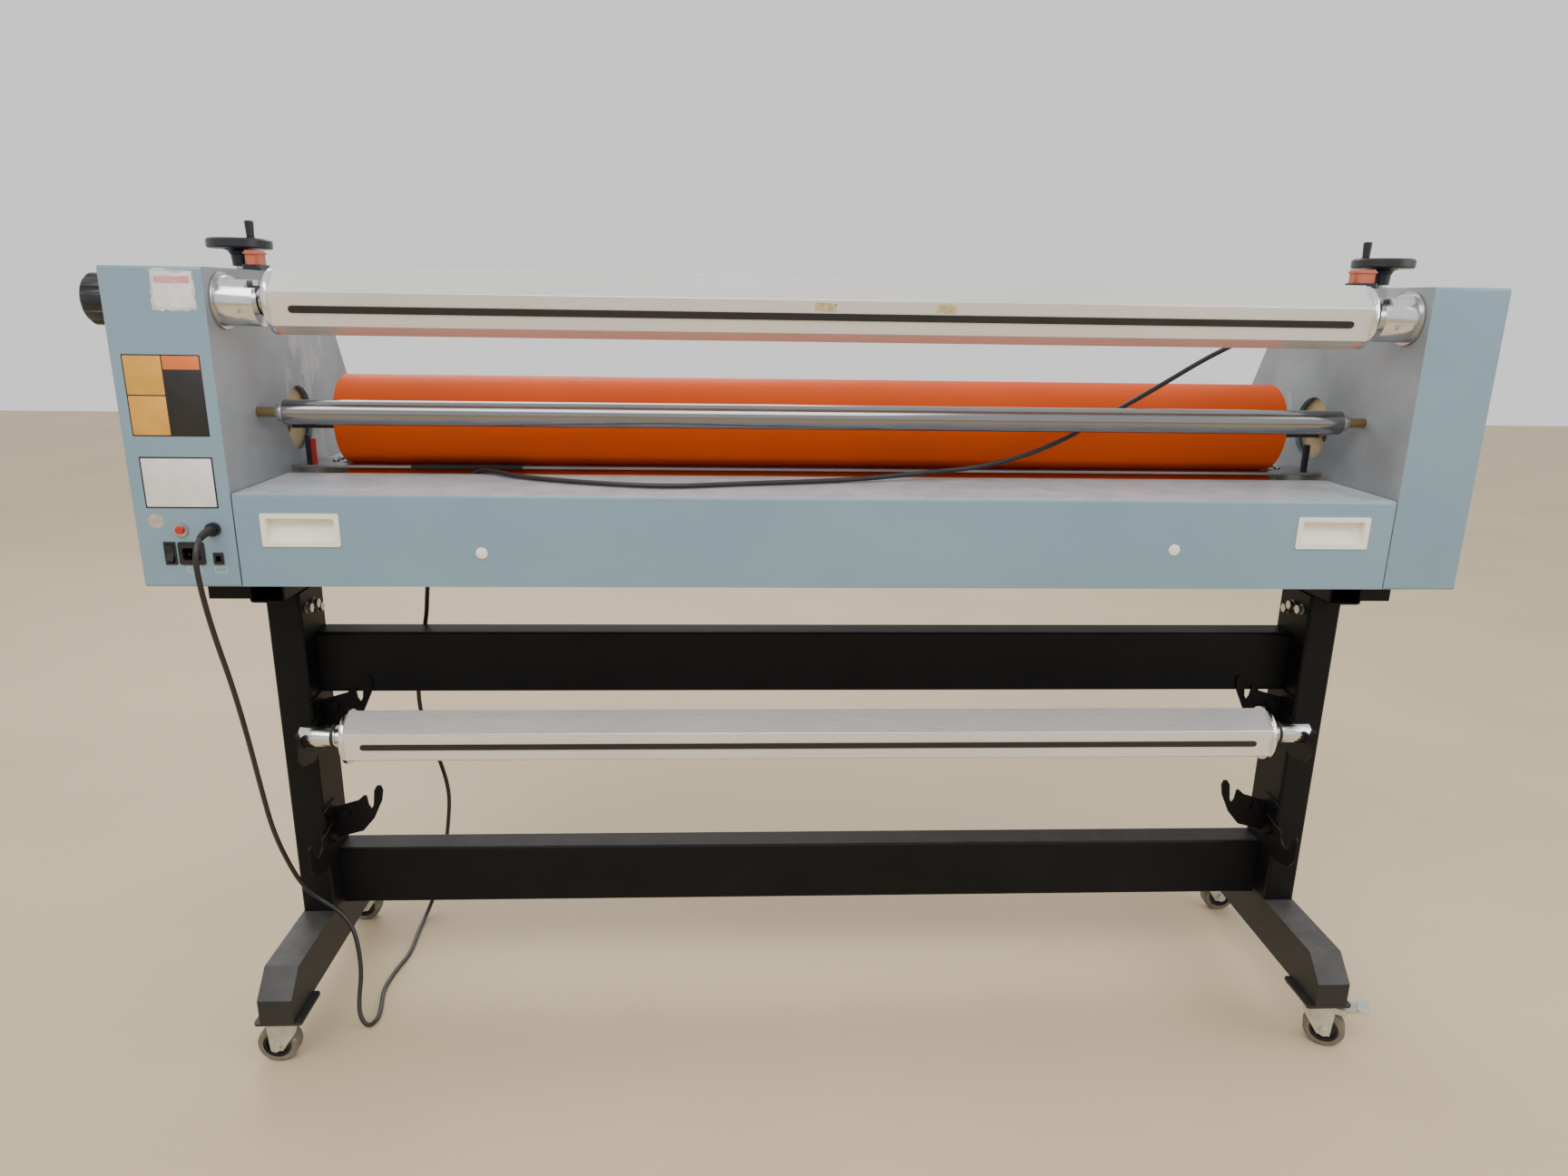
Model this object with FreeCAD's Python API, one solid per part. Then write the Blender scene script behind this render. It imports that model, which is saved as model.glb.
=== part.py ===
import FreeCAD, Part
import math
import os

# Cold roll laminator on a castored stand, all lengths in mm.
# Working frame: X = 0 at the middle of the rollers, Y = 0 at the front of the side
# cabinets (the operator stands at -Y), Z = 0 on the floor. Every piece is moved by
# ORIGIN when it is written, so that the origin is under the middle of the machine.

ORIGIN = FreeCAD.Vector(21.0, -222.621, 0)

# side cabinets
INNER_X = 772.0
OUTER_X = {-1: 895.0, 1: 873.0}
CAB_BOTTOM = 752.0
CAB_TOP = 1155.0
CAB_TOP_DEPTH = 358.0
CAB_DEPTH = 470.0
CAB_SHOULDER = 955.0
SIDE_PLATE = 8.0
SKIN = 2.0
BEND = 4.0

# rollers
FACE = 1400.0
ROLLER_Y = 240.0
LOWER_Z = 816.6
UPPER_Z = 947.6
ROLLER_R = 65.3
RUBBER_T = 10.0
JOURNAL_R = 15.0
LIFT = 25.0
RUN_FIT = 0.05
SLIDE_GAP = 0.4

# feed table and nip guard
TABLE_Z = 876.0
TABLE_DEPTH = 174.0
TABLE_X = 770.3
TABLE_PIVOT = (164.0, 762.0)
PIVOT_R = 5.0

# supply shaft, storage shaft and idler
HEX_R = 42.5
SHAFT_FACE = 1400.0
SUPPLY = (44.0, 1115.0)
SUPPLY_TILT = 13.5
STORAGE = (128.0, 484.0)
STORAGE_TILT = 4.0
STUB_R = 16.5
IDLER = (106.0, 970.0)
IDLER_R = 17.0
IDLER_HALF = 735.0

# stand
LEG_X0 = 772.0
LEG_X1 = 822.0
LEG_Y0 = 166.0
LEG_Y1 = 256.0
FOOT_Z = 161.0
FOOT_BOTTOM = 87.5
FOOT_Y0 = -13.0
FOOT_Y1 = 435.0
CASTER_Y = (25.0, 397.0)
WHEEL_R = 30.0
WHEEL_W = 24.0
TRAIL = 17.0

# hand wheels
WHEEL_X = {-1: 830.0, 1: 845.0}
RIM_R = 43.0
SCREW_R = 8.0

# cord
CORD_D = 7.0

SIDES = {"left": -1, "right": 1}
X_AXIS = FreeCAD.Vector(1, 0, 0)
Y_AXIS = FreeCAD.Vector(0, 1, 0)
Z_AXIS = FreeCAD.Vector(0, 0, 1)


def vec(x, y, z):
    return FreeCAD.Vector(x, y, z)


def block(x0, x1, y0, y1, z0, z1):
    """A box between two corners given in any order."""
    low = vec(min(x0, x1), min(y0, y1), min(z0, z1))
    return Part.makeBox(abs(x1 - x0), abs(y1 - y0), abs(z1 - z0), low)


def rod_x(x0, x1, y, z, r):
    return Part.makeCylinder(r, abs(x1 - x0), vec(min(x0, x1), y, z), X_AXIS)


def rod_y(y0, y1, x, z, r):
    return Part.makeCylinder(r, abs(y1 - y0), vec(x, min(y0, y1), z), Y_AXIS)


def rod_z(z0, z1, x, y, r):
    return Part.makeCylinder(r, abs(z1 - z0), vec(x, y, min(z0, z1)), Z_AXIS)


def prism_x(points, x0, x1):
    """A prism along X on a closed outline of (y, z) points."""
    corners = [vec(min(x0, x1), y, z) for y, z in points]
    face = Part.Face(Part.makePolygon(corners + corners[:1]))
    return face.extrude(vec(abs(x1 - x0), 0, 0))


def prism_y(points, y0, y1):
    """A prism along Y on a closed outline of (x, z) points."""
    corners = [vec(x, min(y0, y1), z) for x, z in points]
    face = Part.Face(Part.makePolygon(corners + corners[:1]))
    return face.extrude(vec(0, abs(y1 - y0), 0))


def turned_z(profile, x, y, z):
    """A solid of revolution about a vertical axis from (radius, height) points."""
    corners = [vec(r, 0, h) for r, h in profile]
    face = Part.Face(Part.makePolygon(corners + corners[:1]))
    solid = face.revolve(vec(0, 0, 0), Z_AXIS, 360)
    solid.translate(vec(x, y, z))
    return solid


def turned_x(profile, side, x, y, z):
    """The same about an X axis, with heights counted away from x on that side."""
    solid = turned_z(profile, 0, 0, 0)
    solid.rotate(vec(0, 0, 0), Y_AXIS, 90 * side)
    solid.translate(vec(x, y, z))
    return solid


def hexagon_bolt(x, y, z, side, across, height, washer):
    """A hexagon head with a washer under it, on an X axis."""
    r = across / math.sqrt(3)
    ring = [(y + r * math.cos(math.radians(60 * k)), z + r * math.sin(math.radians(60 * k)))
            for k in range(6)]
    base = rod_x(x, x + side * washer, y, z, 0.62 * across)
    return base.fuse(prism_x(ring, x + side * washer, x + side * (washer + height)))


def inset(points, d):
    """The outline moved inwards by d, for a convex outline listed clockwise in (y, z)."""
    n = len(points)
    moved = []
    for i in range(n):
        (ay, az), (by, bz), (cy, cz) = points[i - 1], points[i], points[(i + 1) % n]
        l1 = math.hypot(by - ay, bz - az)
        l2 = math.hypot(cy - by, cz - bz)
        n1 = ((bz - az) / l1, -(by - ay) / l1)
        n2 = ((cz - bz) / l2, -(cy - by) / l2)
        k = d / (1 + n1[0] * n2[0] + n1[1] * n2[1])
        moved.append((by + k * (n1[0] + n2[0]), bz + k * (n1[1] + n2[1])))
    return moved


def edges_along(shape, axis):
    """The straight edges of a shape that run along an axis."""
    found = []
    for e in shape.Edges:
        if e.Curve.TypeId == "Part::GeomLine" and abs(abs(e.Curve.Direction.dot(axis)) - 1) < 1e-6:
            found.append(e)
    return found


def rounded(shape, axis, radius):
    return shape.makeFillet(radius, edges_along(shape, axis))


def tube_box(x0, x1, y0, y1, z0, z1, wall, radius, axis):
    """A rectangular tube with rounded corners, open at both ends of its axis."""
    outer = rounded(block(x0, x1, y0, y1, z0, z1), axis, radius)
    ax = 0 if axis == X_AXIS else wall
    ay = 0 if axis == Y_AXIS else wall
    az = 0 if axis == Z_AXIS else wall
    inner = block(min(x0, x1) + ax, max(x0, x1) - ax, y0 + ay, y1 - ay, z0 + az, z1 - az)
    return outer.cut(inner)


def save(name, solids):
    """Writes one node, moved from the working frame to the machine's own frame."""
    items = solids if isinstance(solids, list) else [solids]
    clean = []
    for s in items:
        s = s.copy().removeSplitter() if s.ShapeType != "Solid" else s.copy()
        s.translate(ORIGIN)
        clean.extend(s.Solids)
    for s in clean:
        if not s.isValid() or s.Volume <= 0:
            print("BAD SOLID", name, s.Volume)
    shape = clean[0] if len(clean) == 1 else Part.makeCompound(clean)
    shape.exportStep("parts/" + name + ".step")
    return shape


# ---------------------------------------------------------------- stand

BEAM_WALL = 3.0
TUBE_ROUND = 5.0
ARM_Y0 = 121.0
ARM_Y1 = 400.0
ARM_Z0 = 695.0
SHELF_X = {-1: 879.0, 1: 866.0}
SHELF_Z0 = 701.0
UPPER_BEAM = (208.0, 256.0, 524.0, 622.0)
LOWER_BEAM = (208.0, 256.0, 150.0, 250.0)


def leg(side):
    """An upright rectangular tube standing on the foot."""
    return tube_box(side * LEG_X0, side * LEG_X1, LEG_Y0, LEG_Y1, FOOT_Z, ARM_Z0,
                    BEAM_WALL, TUBE_ROUND, Z_AXIS)


def foot(side):
    """A folded channel with both ends sloping down over the casters."""
    drop = 35.0
    run = 35.4
    outline = [(FOOT_Y0, FOOT_BOTTOM), (FOOT_Y0, FOOT_Z - drop), (FOOT_Y0 + run, FOOT_Z),
               (FOOT_Y1 - run, FOOT_Z), (FOOT_Y1, FOOT_Z - drop), (FOOT_Y1, FOOT_BOTTOM)]
    outer = prism_x(outline, side * LEG_X0, side * LEG_X1)
    hollow = inset(outline, 4.0)
    hollow[0] = (hollow[0][0], FOOT_BOTTOM - 1)
    hollow[-1] = (hollow[-1][0], FOOT_BOTTOM - 1)
    return outer.cut(prism_x(hollow, side * (LEG_X0 + 4), side * (LEG_X1 - 4)))


def saddle(side):
    """The arm on top of a leg, with a folded shelf outboard of it under the cabinet."""
    arm = tube_box(side * LEG_X0, side * LEG_X1, ARM_Y0, ARM_Y1, ARM_Z0, CAB_BOTTOM,
                   BEAM_WALL, TUBE_ROUND, Y_AXIS)
    edge = side * SHELF_X[side]
    shelf = block(side * LEG_X1, edge, ARM_Y0, ARM_Y1, CAB_BOTTOM - 4, CAB_BOTTOM)
    lip = block(edge - side * 4, edge, ARM_Y0, ARM_Y1, SHELF_Z0, CAB_BOTTOM - 4)
    front = block(side * LEG_X1, edge - side * 4, ARM_Y0, ARM_Y0 + 4, SHELF_Z0, CAB_BOTTOM - 4)
    rear = block(side * LEG_X1, edge - side * 4, ARM_Y1 - 4, ARM_Y1, SHELF_Z0, CAB_BOTTOM - 4)
    return [arm, shelf.fuse([lip, front, rear]).removeSplitter()]


def beam(y0, y1, z0, z1):
    return tube_box(-LEG_X0, LEG_X0, y0, y1, z0, z1, BEAM_WALL, TUBE_ROUND, X_AXIS)


def frame_bolts():
    """Hexagon screws through the legs into the beams, and through the arms into the cabinets."""
    bolts = []
    for side in SIDES.values():
        for z in (548.0, 598.0, 186.0, 226.0):
            bolts.append(hexagon_bolt(side * LEG_X1, 232.0, z, side, 17.0, 10.0, 2.0))
        for y in (188.0, 214.0):
            bolts.append(hexagon_bolt(side * LEG_X0, y, 668.0, -side, 13.0, 7.0, 1.6))
        bolts.append(hexagon_bolt(side * LEG_X0, 227.8, 658.8, -side, 13.0, 7.0, 1.6))
    return bolts


# ---------------------------------------------------------------- casters

PLATE_HALF = 35.0
PLATE_T = 4.0
FORK_T = 2.5
FORK_GAP = 0.8
AXLE_R = 4.0
SWIVEL_R = 21.0
CASTER_X = 797.0
CASTERS = {"fl": (-CASTER_X, CASTER_Y[0], 180.0), "fr": (CASTER_X, CASTER_Y[0], -30.0),
           "rl": (-CASTER_X, CASTER_Y[1], 180.0), "rr": (CASTER_X, CASTER_Y[1], 0.0)}
BRAKED = "fr"
PLATE_Z = FOOT_BOTTOM - PLATE_T
BRAKE_PIVOT = (TRAIL + 20.0, 70.0)
PIN_R = 2.5


def caster_plates():
    """Four mounting plates, each with its swivel boss and four screw heads."""
    solids = []
    for x, y, _ in CASTERS.values():
        plate = block(x - PLATE_HALF, x + PLATE_HALF, y - 38, y + 38, PLATE_Z, FOOT_BOTTOM)
        plate = rounded(plate, Z_AXIS, 6.0)
        plate = plate.fuse(rod_z(PLATE_Z - 3, PLATE_Z, x, y, SWIVEL_R + 3))
        pin = rod_z(PLATE_Z - 11, PLATE_Z - 3, x, y, 6.0)
        solids.append(plate.fuse(pin))
        for dx in (-28.5, 28.5):
            for dy in (-29.0, 29.0):
                solids.append(rod_z(PLATE_Z - 3.5, PLATE_Z, x + dx, y + dy, 4.5))
    return solids


def fork(place, braked):
    """A pressed fork, its axle along Y at rest, trailing along X, with ears for a brake pin."""
    x, y, turn = place
    top = PLATE_Z - 3 - SLIDE_GAP
    race = rod_z(top - 5, top, 0, 0, SWIVEL_R)
    half = WHEEL_W / 2 + FORK_GAP
    reach = TRAIL + 12.0
    crown = block(-19, reach, -half - FORK_T, half + FORK_T, top - 8, top - 5)
    sides = []
    for s in (-1, 1):
        outline = [(-19, top - 8), (reach, top - 8), (TRAIL + 9, WHEEL_R - 8), (TRAIL - 9, WHEEL_R - 8),
                   (-14, top - 26)]
        sides.append(prism_y(outline, s * half, s * (half + FORK_T)))
    body = race.fuse([crown] + sides)
    body = body.cut(rod_z(top - 9, top + 1, 0, 0, 6.0 + RUN_FIT))
    body = body.fuse(rod_y(-half - FORK_T - 3, half + FORK_T + 3, TRAIL, WHEEL_R, AXLE_R))
    for s in (-1, 1):
        nut = rod_y(s * (half + FORK_T), s * (half + FORK_T + 4.5), TRAIL, WHEEL_R, 7.0)
        body = body.fuse(nut)
        if braked:
            ear = block(reach - 3, BRAKE_PIVOT[0] + 5, s * half, s * (half + FORK_T),
                        BRAKE_PIVOT[1] - 5, top - 5)
            body = body.fuse(ear)
    if braked:
        body = body.fuse(rod_y(-half - FORK_T - 1, half + FORK_T + 1, BRAKE_PIVOT[0], BRAKE_PIVOT[1], PIN_R))
    body.rotate(vec(0, 0, 0), Z_AXIS, turn)
    body.translate(vec(x, y, 0))
    return body


def wheel(place):
    """Two solids: the tyre ring and the hub with its axle bore."""
    x, y, turn = place
    half = WHEEL_W / 2
    tyre = rod_y(-half, half, TRAIL, WHEEL_R, WHEEL_R)
    rims = [e for e in tyre.Edges if e.Curve.TypeId == "Part::GeomCircle"]
    tyre = tyre.makeFillet(4.0, rims).cut(rod_y(-half - 1, half + 1, TRAIL, WHEEL_R, 21.0))
    hub = rod_y(-half + 2, half - 2, TRAIL, WHEEL_R, 21.0)
    hub = hub.fuse(rod_y(-half - 0.3, half + 0.3, TRAIL, WHEEL_R, 9.0))
    for s in (-1, 1):
        dish = rod_y(s * (half - 6), s * half, TRAIL, WHEEL_R, 18.0)
        dish = dish.cut(rod_y(s * (half - 7), s * (half + 1), TRAIL, WHEEL_R, 9.0))
        hub = hub.cut(dish)
    hub = hub.cut(rod_y(-half - 2, half + 2, TRAIL, WHEEL_R, AXLE_R + RUN_FIT))
    solids = [tyre, hub]
    for s in solids:
        s.rotate(vec(0, 0, 0), Z_AXIS, turn)
        s.translate(vec(x, y, 0))
    return solids


def brake(place):
    """A foot lever over the wheel, hinged on a cross pin in the fork's crown."""
    x, y, turn = place
    px, pz = BRAKE_PIVOT
    outline = [(px - 6, pz - 2.5), (px - 6, pz + 3), (px + 8, pz + 5.5), (px + 31, pz + 12),
               (px + 34, pz + 9.5), (px + 10, pz - 1.0), (px + 4, pz - 5.0)]
    lever = prism_y(outline, -11, 11)
    tread = block(px + 20, px + 36, -17, 17, pz + 10.2, pz + 13.0)
    lever = lever.fuse(rounded(tread, Z_AXIS, 4.0))
    lever = lever.cut(rod_y(-12, 12, px, pz, PIN_R + RUN_FIT))
    lever.rotate(vec(0, 0, 0), Z_AXIS, turn)
    lever.translate(vec(x, y, 0))
    return lever


# ---------------------------------------------------------------- cabinets

PROFILE = [(0.0, CAB_BOTTOM), (0.0, CAB_TOP), (CAB_TOP_DEPTH, CAB_TOP),
           (CAB_DEPTH, CAB_SHOULDER), (CAB_DEPTH, CAB_BOTTOM)]
BRAKE_R = 8.0
BEARING_SEAT_R = 26.0
ROCKER_SLOT = (-864.0, -849.0, 782.5, 812.7)
INLET_SLOT = (-846.0, -813.0, 782.5, 812.7)
SOCKET_SLOT = (-802.5, -790.0, 783.0, 798.5)
RESET_AT = (-839.0, 829.0)
GLAND_AT = (-797.6, 830.0)


def shell(side):
    """Side plate with the front, top, rear and bottom skins folded out from it."""
    outer_x = side * (OUTER_X[side] - SKIN)
    body = rounded(prism_x(PROFILE, side * INNER_X, outer_x), X_AXIS, BEND)
    cavity = prism_x(inset(PROFILE, SKIN), side * (INNER_X + SIDE_PLATE), outer_x + side)
    cavity = rounded(cavity, X_AXIS, BEND - SKIN)
    body = body.cut(cavity)
    reach = side * (INNER_X - 1), side * (INNER_X + SIDE_PLATE + 1)
    body = body.cut(rod_x(reach[0], reach[1], ROLLER_Y, UPPER_Z, 47.0))
    body = body.cut(rod_x(reach[0], reach[1], ROLLER_Y, LOWER_Z, BEARING_SEAT_R))
    body = body.cut(rod_z(CAB_TOP - 4, CAB_TOP + 1, side * WHEEL_X[side], ROLLER_Y, SCREW_R + RUN_FIT))
    if side < 0:
        x0, x1, z0, z1 = ROCKER_SLOT
        body = body.cut(block(x0 + 1.5, x1 - 1.5, -1, SKIN + 1, z0 + 1.5, z1 - 1.5))
        x0, x1, z0, z1 = INLET_SLOT
        body = body.cut(block(x0 + 2.5, x1 - 2.5, -1, SKIN + 1, z0 + 2.5, z1 - 2.5))
        x0, x1, z0, z1 = SOCKET_SLOT
        body = body.cut(block(x0 + 1, x1 - 1, -1, SKIN + 1, z0 + 1, z1 - 1))
        body = body.cut(rod_y(-1, SKIN + 1, RESET_AT[0], RESET_AT[1], 7.0))
        body = body.cut(rod_y(-1, SKIN + 1, GLAND_AT[0], GLAND_AT[1], 6.0))
    return body


def cover(side):
    """The outer side sheet, with a bore for the brake spindle on the left."""
    outer_x = side * OUTER_X[side]
    sheet = rounded(prism_x(PROFILE, outer_x - side * SKIN, outer_x), X_AXIS, BEND)
    if side < 0:
        sheet = sheet.cut(rod_x(outer_x - 1, outer_x + SKIN + 1, SUPPLY[0], SUPPLY[1], BRAKE_R + RUN_FIT))
    return sheet


def cabinet_screws():
    """Pan heads round the edge of both covers."""
    spots = [(14.0, 766.0), (14.0, 950.0), (14.0, 1060.0), (160.0, 1141.0), (330.0, 1141.0),
             (404.0, 1045.0), (456.0, 950.0), (456.0, 766.0), (235.0, 766.0)]
    solids = []
    for side in SIDES.values():
        for y, z in spots:
            head = [(0, 0), (4.2, 0), (3.6, 1.6), (1.6, 2.2), (0, 2.2)]
            solids.append(turned_x(head, side, side * OUTER_X[side], y, z))
    return solids


# ---------------------------------------------------------------- rollers and drive

BLOCK_X0 = 781.0
BLOCK_X1 = 809.0
BLOCK_HALF = 50.0
BLOCK_Z0 = 897.0
BLOCK_Z1 = 1008.0
SCREW_END = 993.0
SPROCKET_X = (840.0, 846.0)
HUB_LEN = 7.5
GEARBOX_X = 832.0
OUTPUT_R = 7.5
SPROCKET_R = 45.0
PINION_R = 27.5
PINION_AT = (365.0, 806.0)
PINION_TEETH = 11
ROLLER_TEETH = 18
GEARBOX_HALF = 36.0
MOTOR_LEN = 56.0
MOTOR_R = 26.0
MOTOR_X = -808.0
OUTPUT_DEPTH = 10.0
CHAIN_T = 6.0


def roller_cover(z):
    tube = rod_x(-FACE / 2, FACE / 2, ROLLER_Y, z, ROLLER_R)
    rims = [e for e in tube.Edges if e.Curve.TypeId == "Part::GeomCircle"]
    tube = tube.makeFillet(1.5, rims)
    return tube.cut(rod_x(-FACE, FACE, ROLLER_Y, z, ROLLER_R - RUBBER_T))


def roller_core(z, left_end, right_end):
    """A steel tube with end discs and journals."""
    r = ROLLER_R - RUBBER_T
    core = rod_x(-FACE / 2, FACE / 2, ROLLER_Y, z, r)
    core = core.cut(rod_x(-FACE / 2 + 14, FACE / 2 - 14, ROLLER_Y, z, r - 7))
    left = rod_x(-FACE / 2, left_end, ROLLER_Y, z, JOURNAL_R)
    right = rod_x(FACE / 2, right_end, ROLLER_Y, z, JOURNAL_R)
    core = core.fuse([left, right])
    for s in (-1, 1):
        shoulder = rod_x(s * FACE / 2, s * (FACE / 2 + 8), ROLLER_Y, z, 24.0)
        core = core.fuse(shoulder)
    return core


def sprocket(y, z, r, teeth, bore):
    """A plate sprocket with round notches between its teeth."""
    x0, x1 = -SPROCKET_X[1], -SPROCKET_X[0]
    disc = rod_x(x0, x1, y, z, r)
    notches = []
    for k in range(teeth):
        a = math.radians(360.0 * (k + 0.5) / teeth)
        notches.append(rod_x(x0 - 1, x1 + 1, y + r * math.cos(a), z + r * math.sin(a), 3.4))
    disc = disc.cut(Part.makeCompound(notches))
    disc = disc.fuse(rod_x(x0, x1 + HUB_LEN, y, z, bore + 7))
    return disc.cut(rod_x(x0 - 1, x1 + 9, y, z, bore))


def chain():
    """The closed loop round both sprockets, as one band."""
    y0, z0, y1, z1 = ROLLER_Y, LOWER_Z, PINION_AT[0], PINION_AT[1]
    span = math.hypot(y1 - y0, z1 - z0)
    lean = math.atan2(z1 - z0, y1 - y0)

    def loop(gap, xa, xb):
        r0, r1 = SPROCKET_R + gap, PINION_R + gap
        spread = math.acos((r0 - r1) / span)
        a, b = lean + spread, lean - spread
        quad = [(y0 + r0 * math.cos(a), z0 + r0 * math.sin(a)), (y1 + r1 * math.cos(a), z1 + r1 * math.sin(a)),
                (y1 + r1 * math.cos(b), z1 + r1 * math.sin(b)), (y0 + r0 * math.cos(b), z0 + r0 * math.sin(b))]
        return prism_x(quad, xa, xb).fuse([rod_x(xa, xb, y0, z0, r0), rod_x(xa, xb, y1, z1, r1)])

    x0, x1 = -SPROCKET_X[1] - 1, -SPROCKET_X[0] + 1
    return loop(CHAIN_T, x0, x1).cut(loop(SLIDE_GAP, x0 - 1, x1 + 1))


def upper_bearings():
    """Two sliding blocks, each with a journal bore and a nut plate the lift screw runs through."""
    solids = []
    for side in SIDES.values():
        b = block(side * BLOCK_X0, side * BLOCK_X1, ROLLER_Y - BLOCK_HALF, ROLLER_Y + BLOCK_HALF,
                  BLOCK_Z0, BLOCK_Z1)
        b = b.fuse(block(side * BLOCK_X1, side * (WHEEL_X[side] + 16), ROLLER_Y - 22, ROLLER_Y + 22,
                         BLOCK_Z1 - 18, BLOCK_Z1))
        b = b.cut(rod_x(side * (BLOCK_X0 - 1), side * (BLOCK_X1 + 1), ROLLER_Y, UPPER_Z, JOURNAL_R + RUN_FIT))
        b = b.cut(rod_z(BLOCK_Z1 - 19, BLOCK_Z1 + 1, side * WHEEL_X[side], ROLLER_Y, SCREW_R + 0.3))
        solids.append(b)
        for dy in (-33.0, 33.0):
            head = rod_x(side * (BLOCK_X0 - 5), side * BLOCK_X0, ROLLER_Y + dy, UPPER_Z - LIFT / 2, 5.0)
            solids.append(head)
    return solids


def bearing_housings():
    """Fixed bearings of the lower roller, guide rails of the blocks, and the table's pivot pins."""
    solids = []
    for side in SIDES.values():
        ring = rod_x(side * INNER_X, side * (INNER_X + SIDE_PLATE), ROLLER_Y, LOWER_Z, BEARING_SEAT_R)
        ring = ring.fuse(rod_x(side * (INNER_X + SIDE_PLATE), side * (INNER_X + SIDE_PLATE + 12),
                               ROLLER_Y, LOWER_Z, 38.0))
        ring = ring.cut(rod_x(side * (INNER_X - 1), side * (INNER_X + 30), ROLLER_Y, LOWER_Z,
                              JOURNAL_R + RUN_FIT))
        solids.append(ring)
        for s in (-1, 1):
            y0 = ROLLER_Y + s * (BLOCK_HALF + SLIDE_GAP)
            solids.append(block(side * (INNER_X + SIDE_PLATE), side * (BLOCK_X1 - 4), y0, y0 + s * 10,
                                BLOCK_Z0 - 12, BLOCK_Z1 + LIFT + 8))
        solids.append(rod_x(side * INNER_X, side * (TABLE_X - 5), TABLE_PIVOT[0], TABLE_PIVOT[1], PIVOT_R))
    return solids


def gearmotor():
    """A right-angle gearbox on the side plate with its motor lying along Y."""
    y, z = PINION_AT
    h = GEARBOX_HALF
    box = rounded(block(-INNER_X - SIDE_PLATE, -GEARBOX_X, y - h, y + h, z - h, z + h), X_AXIS, 8.0)
    motor = rod_y(y + h, y + h + MOTOR_LEN, MOTOR_X, z, MOTOR_R)
    bore = rod_x(-GEARBOX_X - 1, -GEARBOX_X + OUTPUT_DEPTH, y, z, OUTPUT_R + RUN_FIT)
    shaft = rod_x(-SPROCKET_X[1] - 6, -GEARBOX_X + OUTPUT_DEPTH - 0.5, y, z, OUTPUT_R)
    return box.fuse(motor).cut(bore), shaft


# ---------------------------------------------------------------- hand wheels

BASE_FLANGE_R = 20.0
GRIP_AT = {-1: (26.0, -22.0), 1: (-33.0, -8.0)}
GRIP_BASE = 45.5
GRIP_BOSS_R = 6.5
GRIP_LEN = 22.0
GRIP_PIN = 20.0
GRIP_PIN_R = 2.5
END_GAP = 0.3
HUB = [(0.0, -162.0), (SCREW_R, -162.0), (SCREW_R, 0.0), (8.0, 3.6), (8.0, 7.0), (12.0, 7.6),
       (13.0, 22.0), (16.0, 27.5), (24.0, 31.0), (RIM_R - 2, 31.0), (RIM_R, 33.0), (RIM_R, 42.0),
       (RIM_R - 2.5, 44.5), (RIM_R - 6, 44.5), (RIM_R - 8.5, 40.0), (28.0, 36.0), (14.0, 36.5),
       (12.0, 41.0), (0.0, 41.0)]


def handwheel(side):
    """A dished hand wheel in one with the lift screw below it."""
    body = turned_z(HUB, side * WHEEL_X[side], ROLLER_Y, CAB_TOP)
    dx, dy = GRIP_AT[side]
    x, y = side * WHEEL_X[side] + dx, ROLLER_Y + dy
    z = CAB_TOP + GRIP_BASE
    body = body.fuse(rod_z(z - 10, z, x, y, GRIP_BOSS_R))
    return body.fuse(rod_z(z, z + GRIP_PIN, x, y, GRIP_PIN_R))


def crank(side):
    """The loose grip on the hand wheel's pin."""
    dx, dy = GRIP_AT[side]
    x, y = side * WHEEL_X[side] + dx, ROLLER_Y + dy
    z = CAB_TOP + GRIP_BASE
    grip = [(0, 0), (4.7, 0), (5.1, 1.5), (6.1, GRIP_LEN - 3), (6.1, GRIP_LEN - 1.2),
            (5.0, GRIP_LEN), (0, GRIP_LEN)]
    body = turned_z(grip, x, y, z + END_GAP)
    return body.cut(rod_z(z - 1, z + GRIP_PIN + END_GAP, x, y, GRIP_PIN_R + RUN_FIT))


INDICATORS = {-1: (-795.0, 205.0, 9.0, 15.0), 1: (795.0, 205.0, 15.5, 10.0)}


def indicators():
    """Position indicators beside the hand wheels and the flange under each wheel."""
    solids = []
    for side, (x, y, hx, hy) in INDICATORS.items():
        base = block(x - hx - 3, x + hx + 3, y - hy - 3, y + hy + 3, CAB_TOP, CAB_TOP + 8.5)
        solids.append(rounded(base, Z_AXIS, 4.0))
        cap = rounded(block(x - hx, x + hx, y - hy, y + hy, CAB_TOP + 8.5, CAB_TOP + 27.5), Z_AXIS, 4.0)
        ring = block(x - hx - 2, x + hx + 2, y - hy - 2, y + hy + 2, CAB_TOP + 22.5, CAB_TOP + 25.0)
        solids.append(cap.fuse(rounded(ring, Z_AXIS, 5.0)))
        flange = rod_z(CAB_TOP, CAB_TOP + 3, side * WHEEL_X[side], ROLLER_Y, BASE_FLANGE_R)
        notch = block(x - hx - 4, x + hx + 4, y - hy - 4, y + hy + 4, CAB_TOP - 1, CAB_TOP + 4)
        flange = flange.cut(notch)
        solids.append(flange.cut(rod_z(CAB_TOP - 1, CAB_TOP + 4, side * WHEEL_X[side], ROLLER_Y, SCREW_R + 0.3)))
    return solids


# ---------------------------------------------------------------- hexagonal shafts

FLANGE_T = 6.0
STRIP_HALF = 672.0
STRIP_W = 9.0
STRIP_DEPTH = 3.0
STRIP_RISE = 1.4
NECK_END = SHAFT_FACE / 2 + FLANGE_T + 16.0
STUB_END = 753.0
RING_GROOVE = (NECK_END + 2.0, NECK_END + 6.0)


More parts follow.
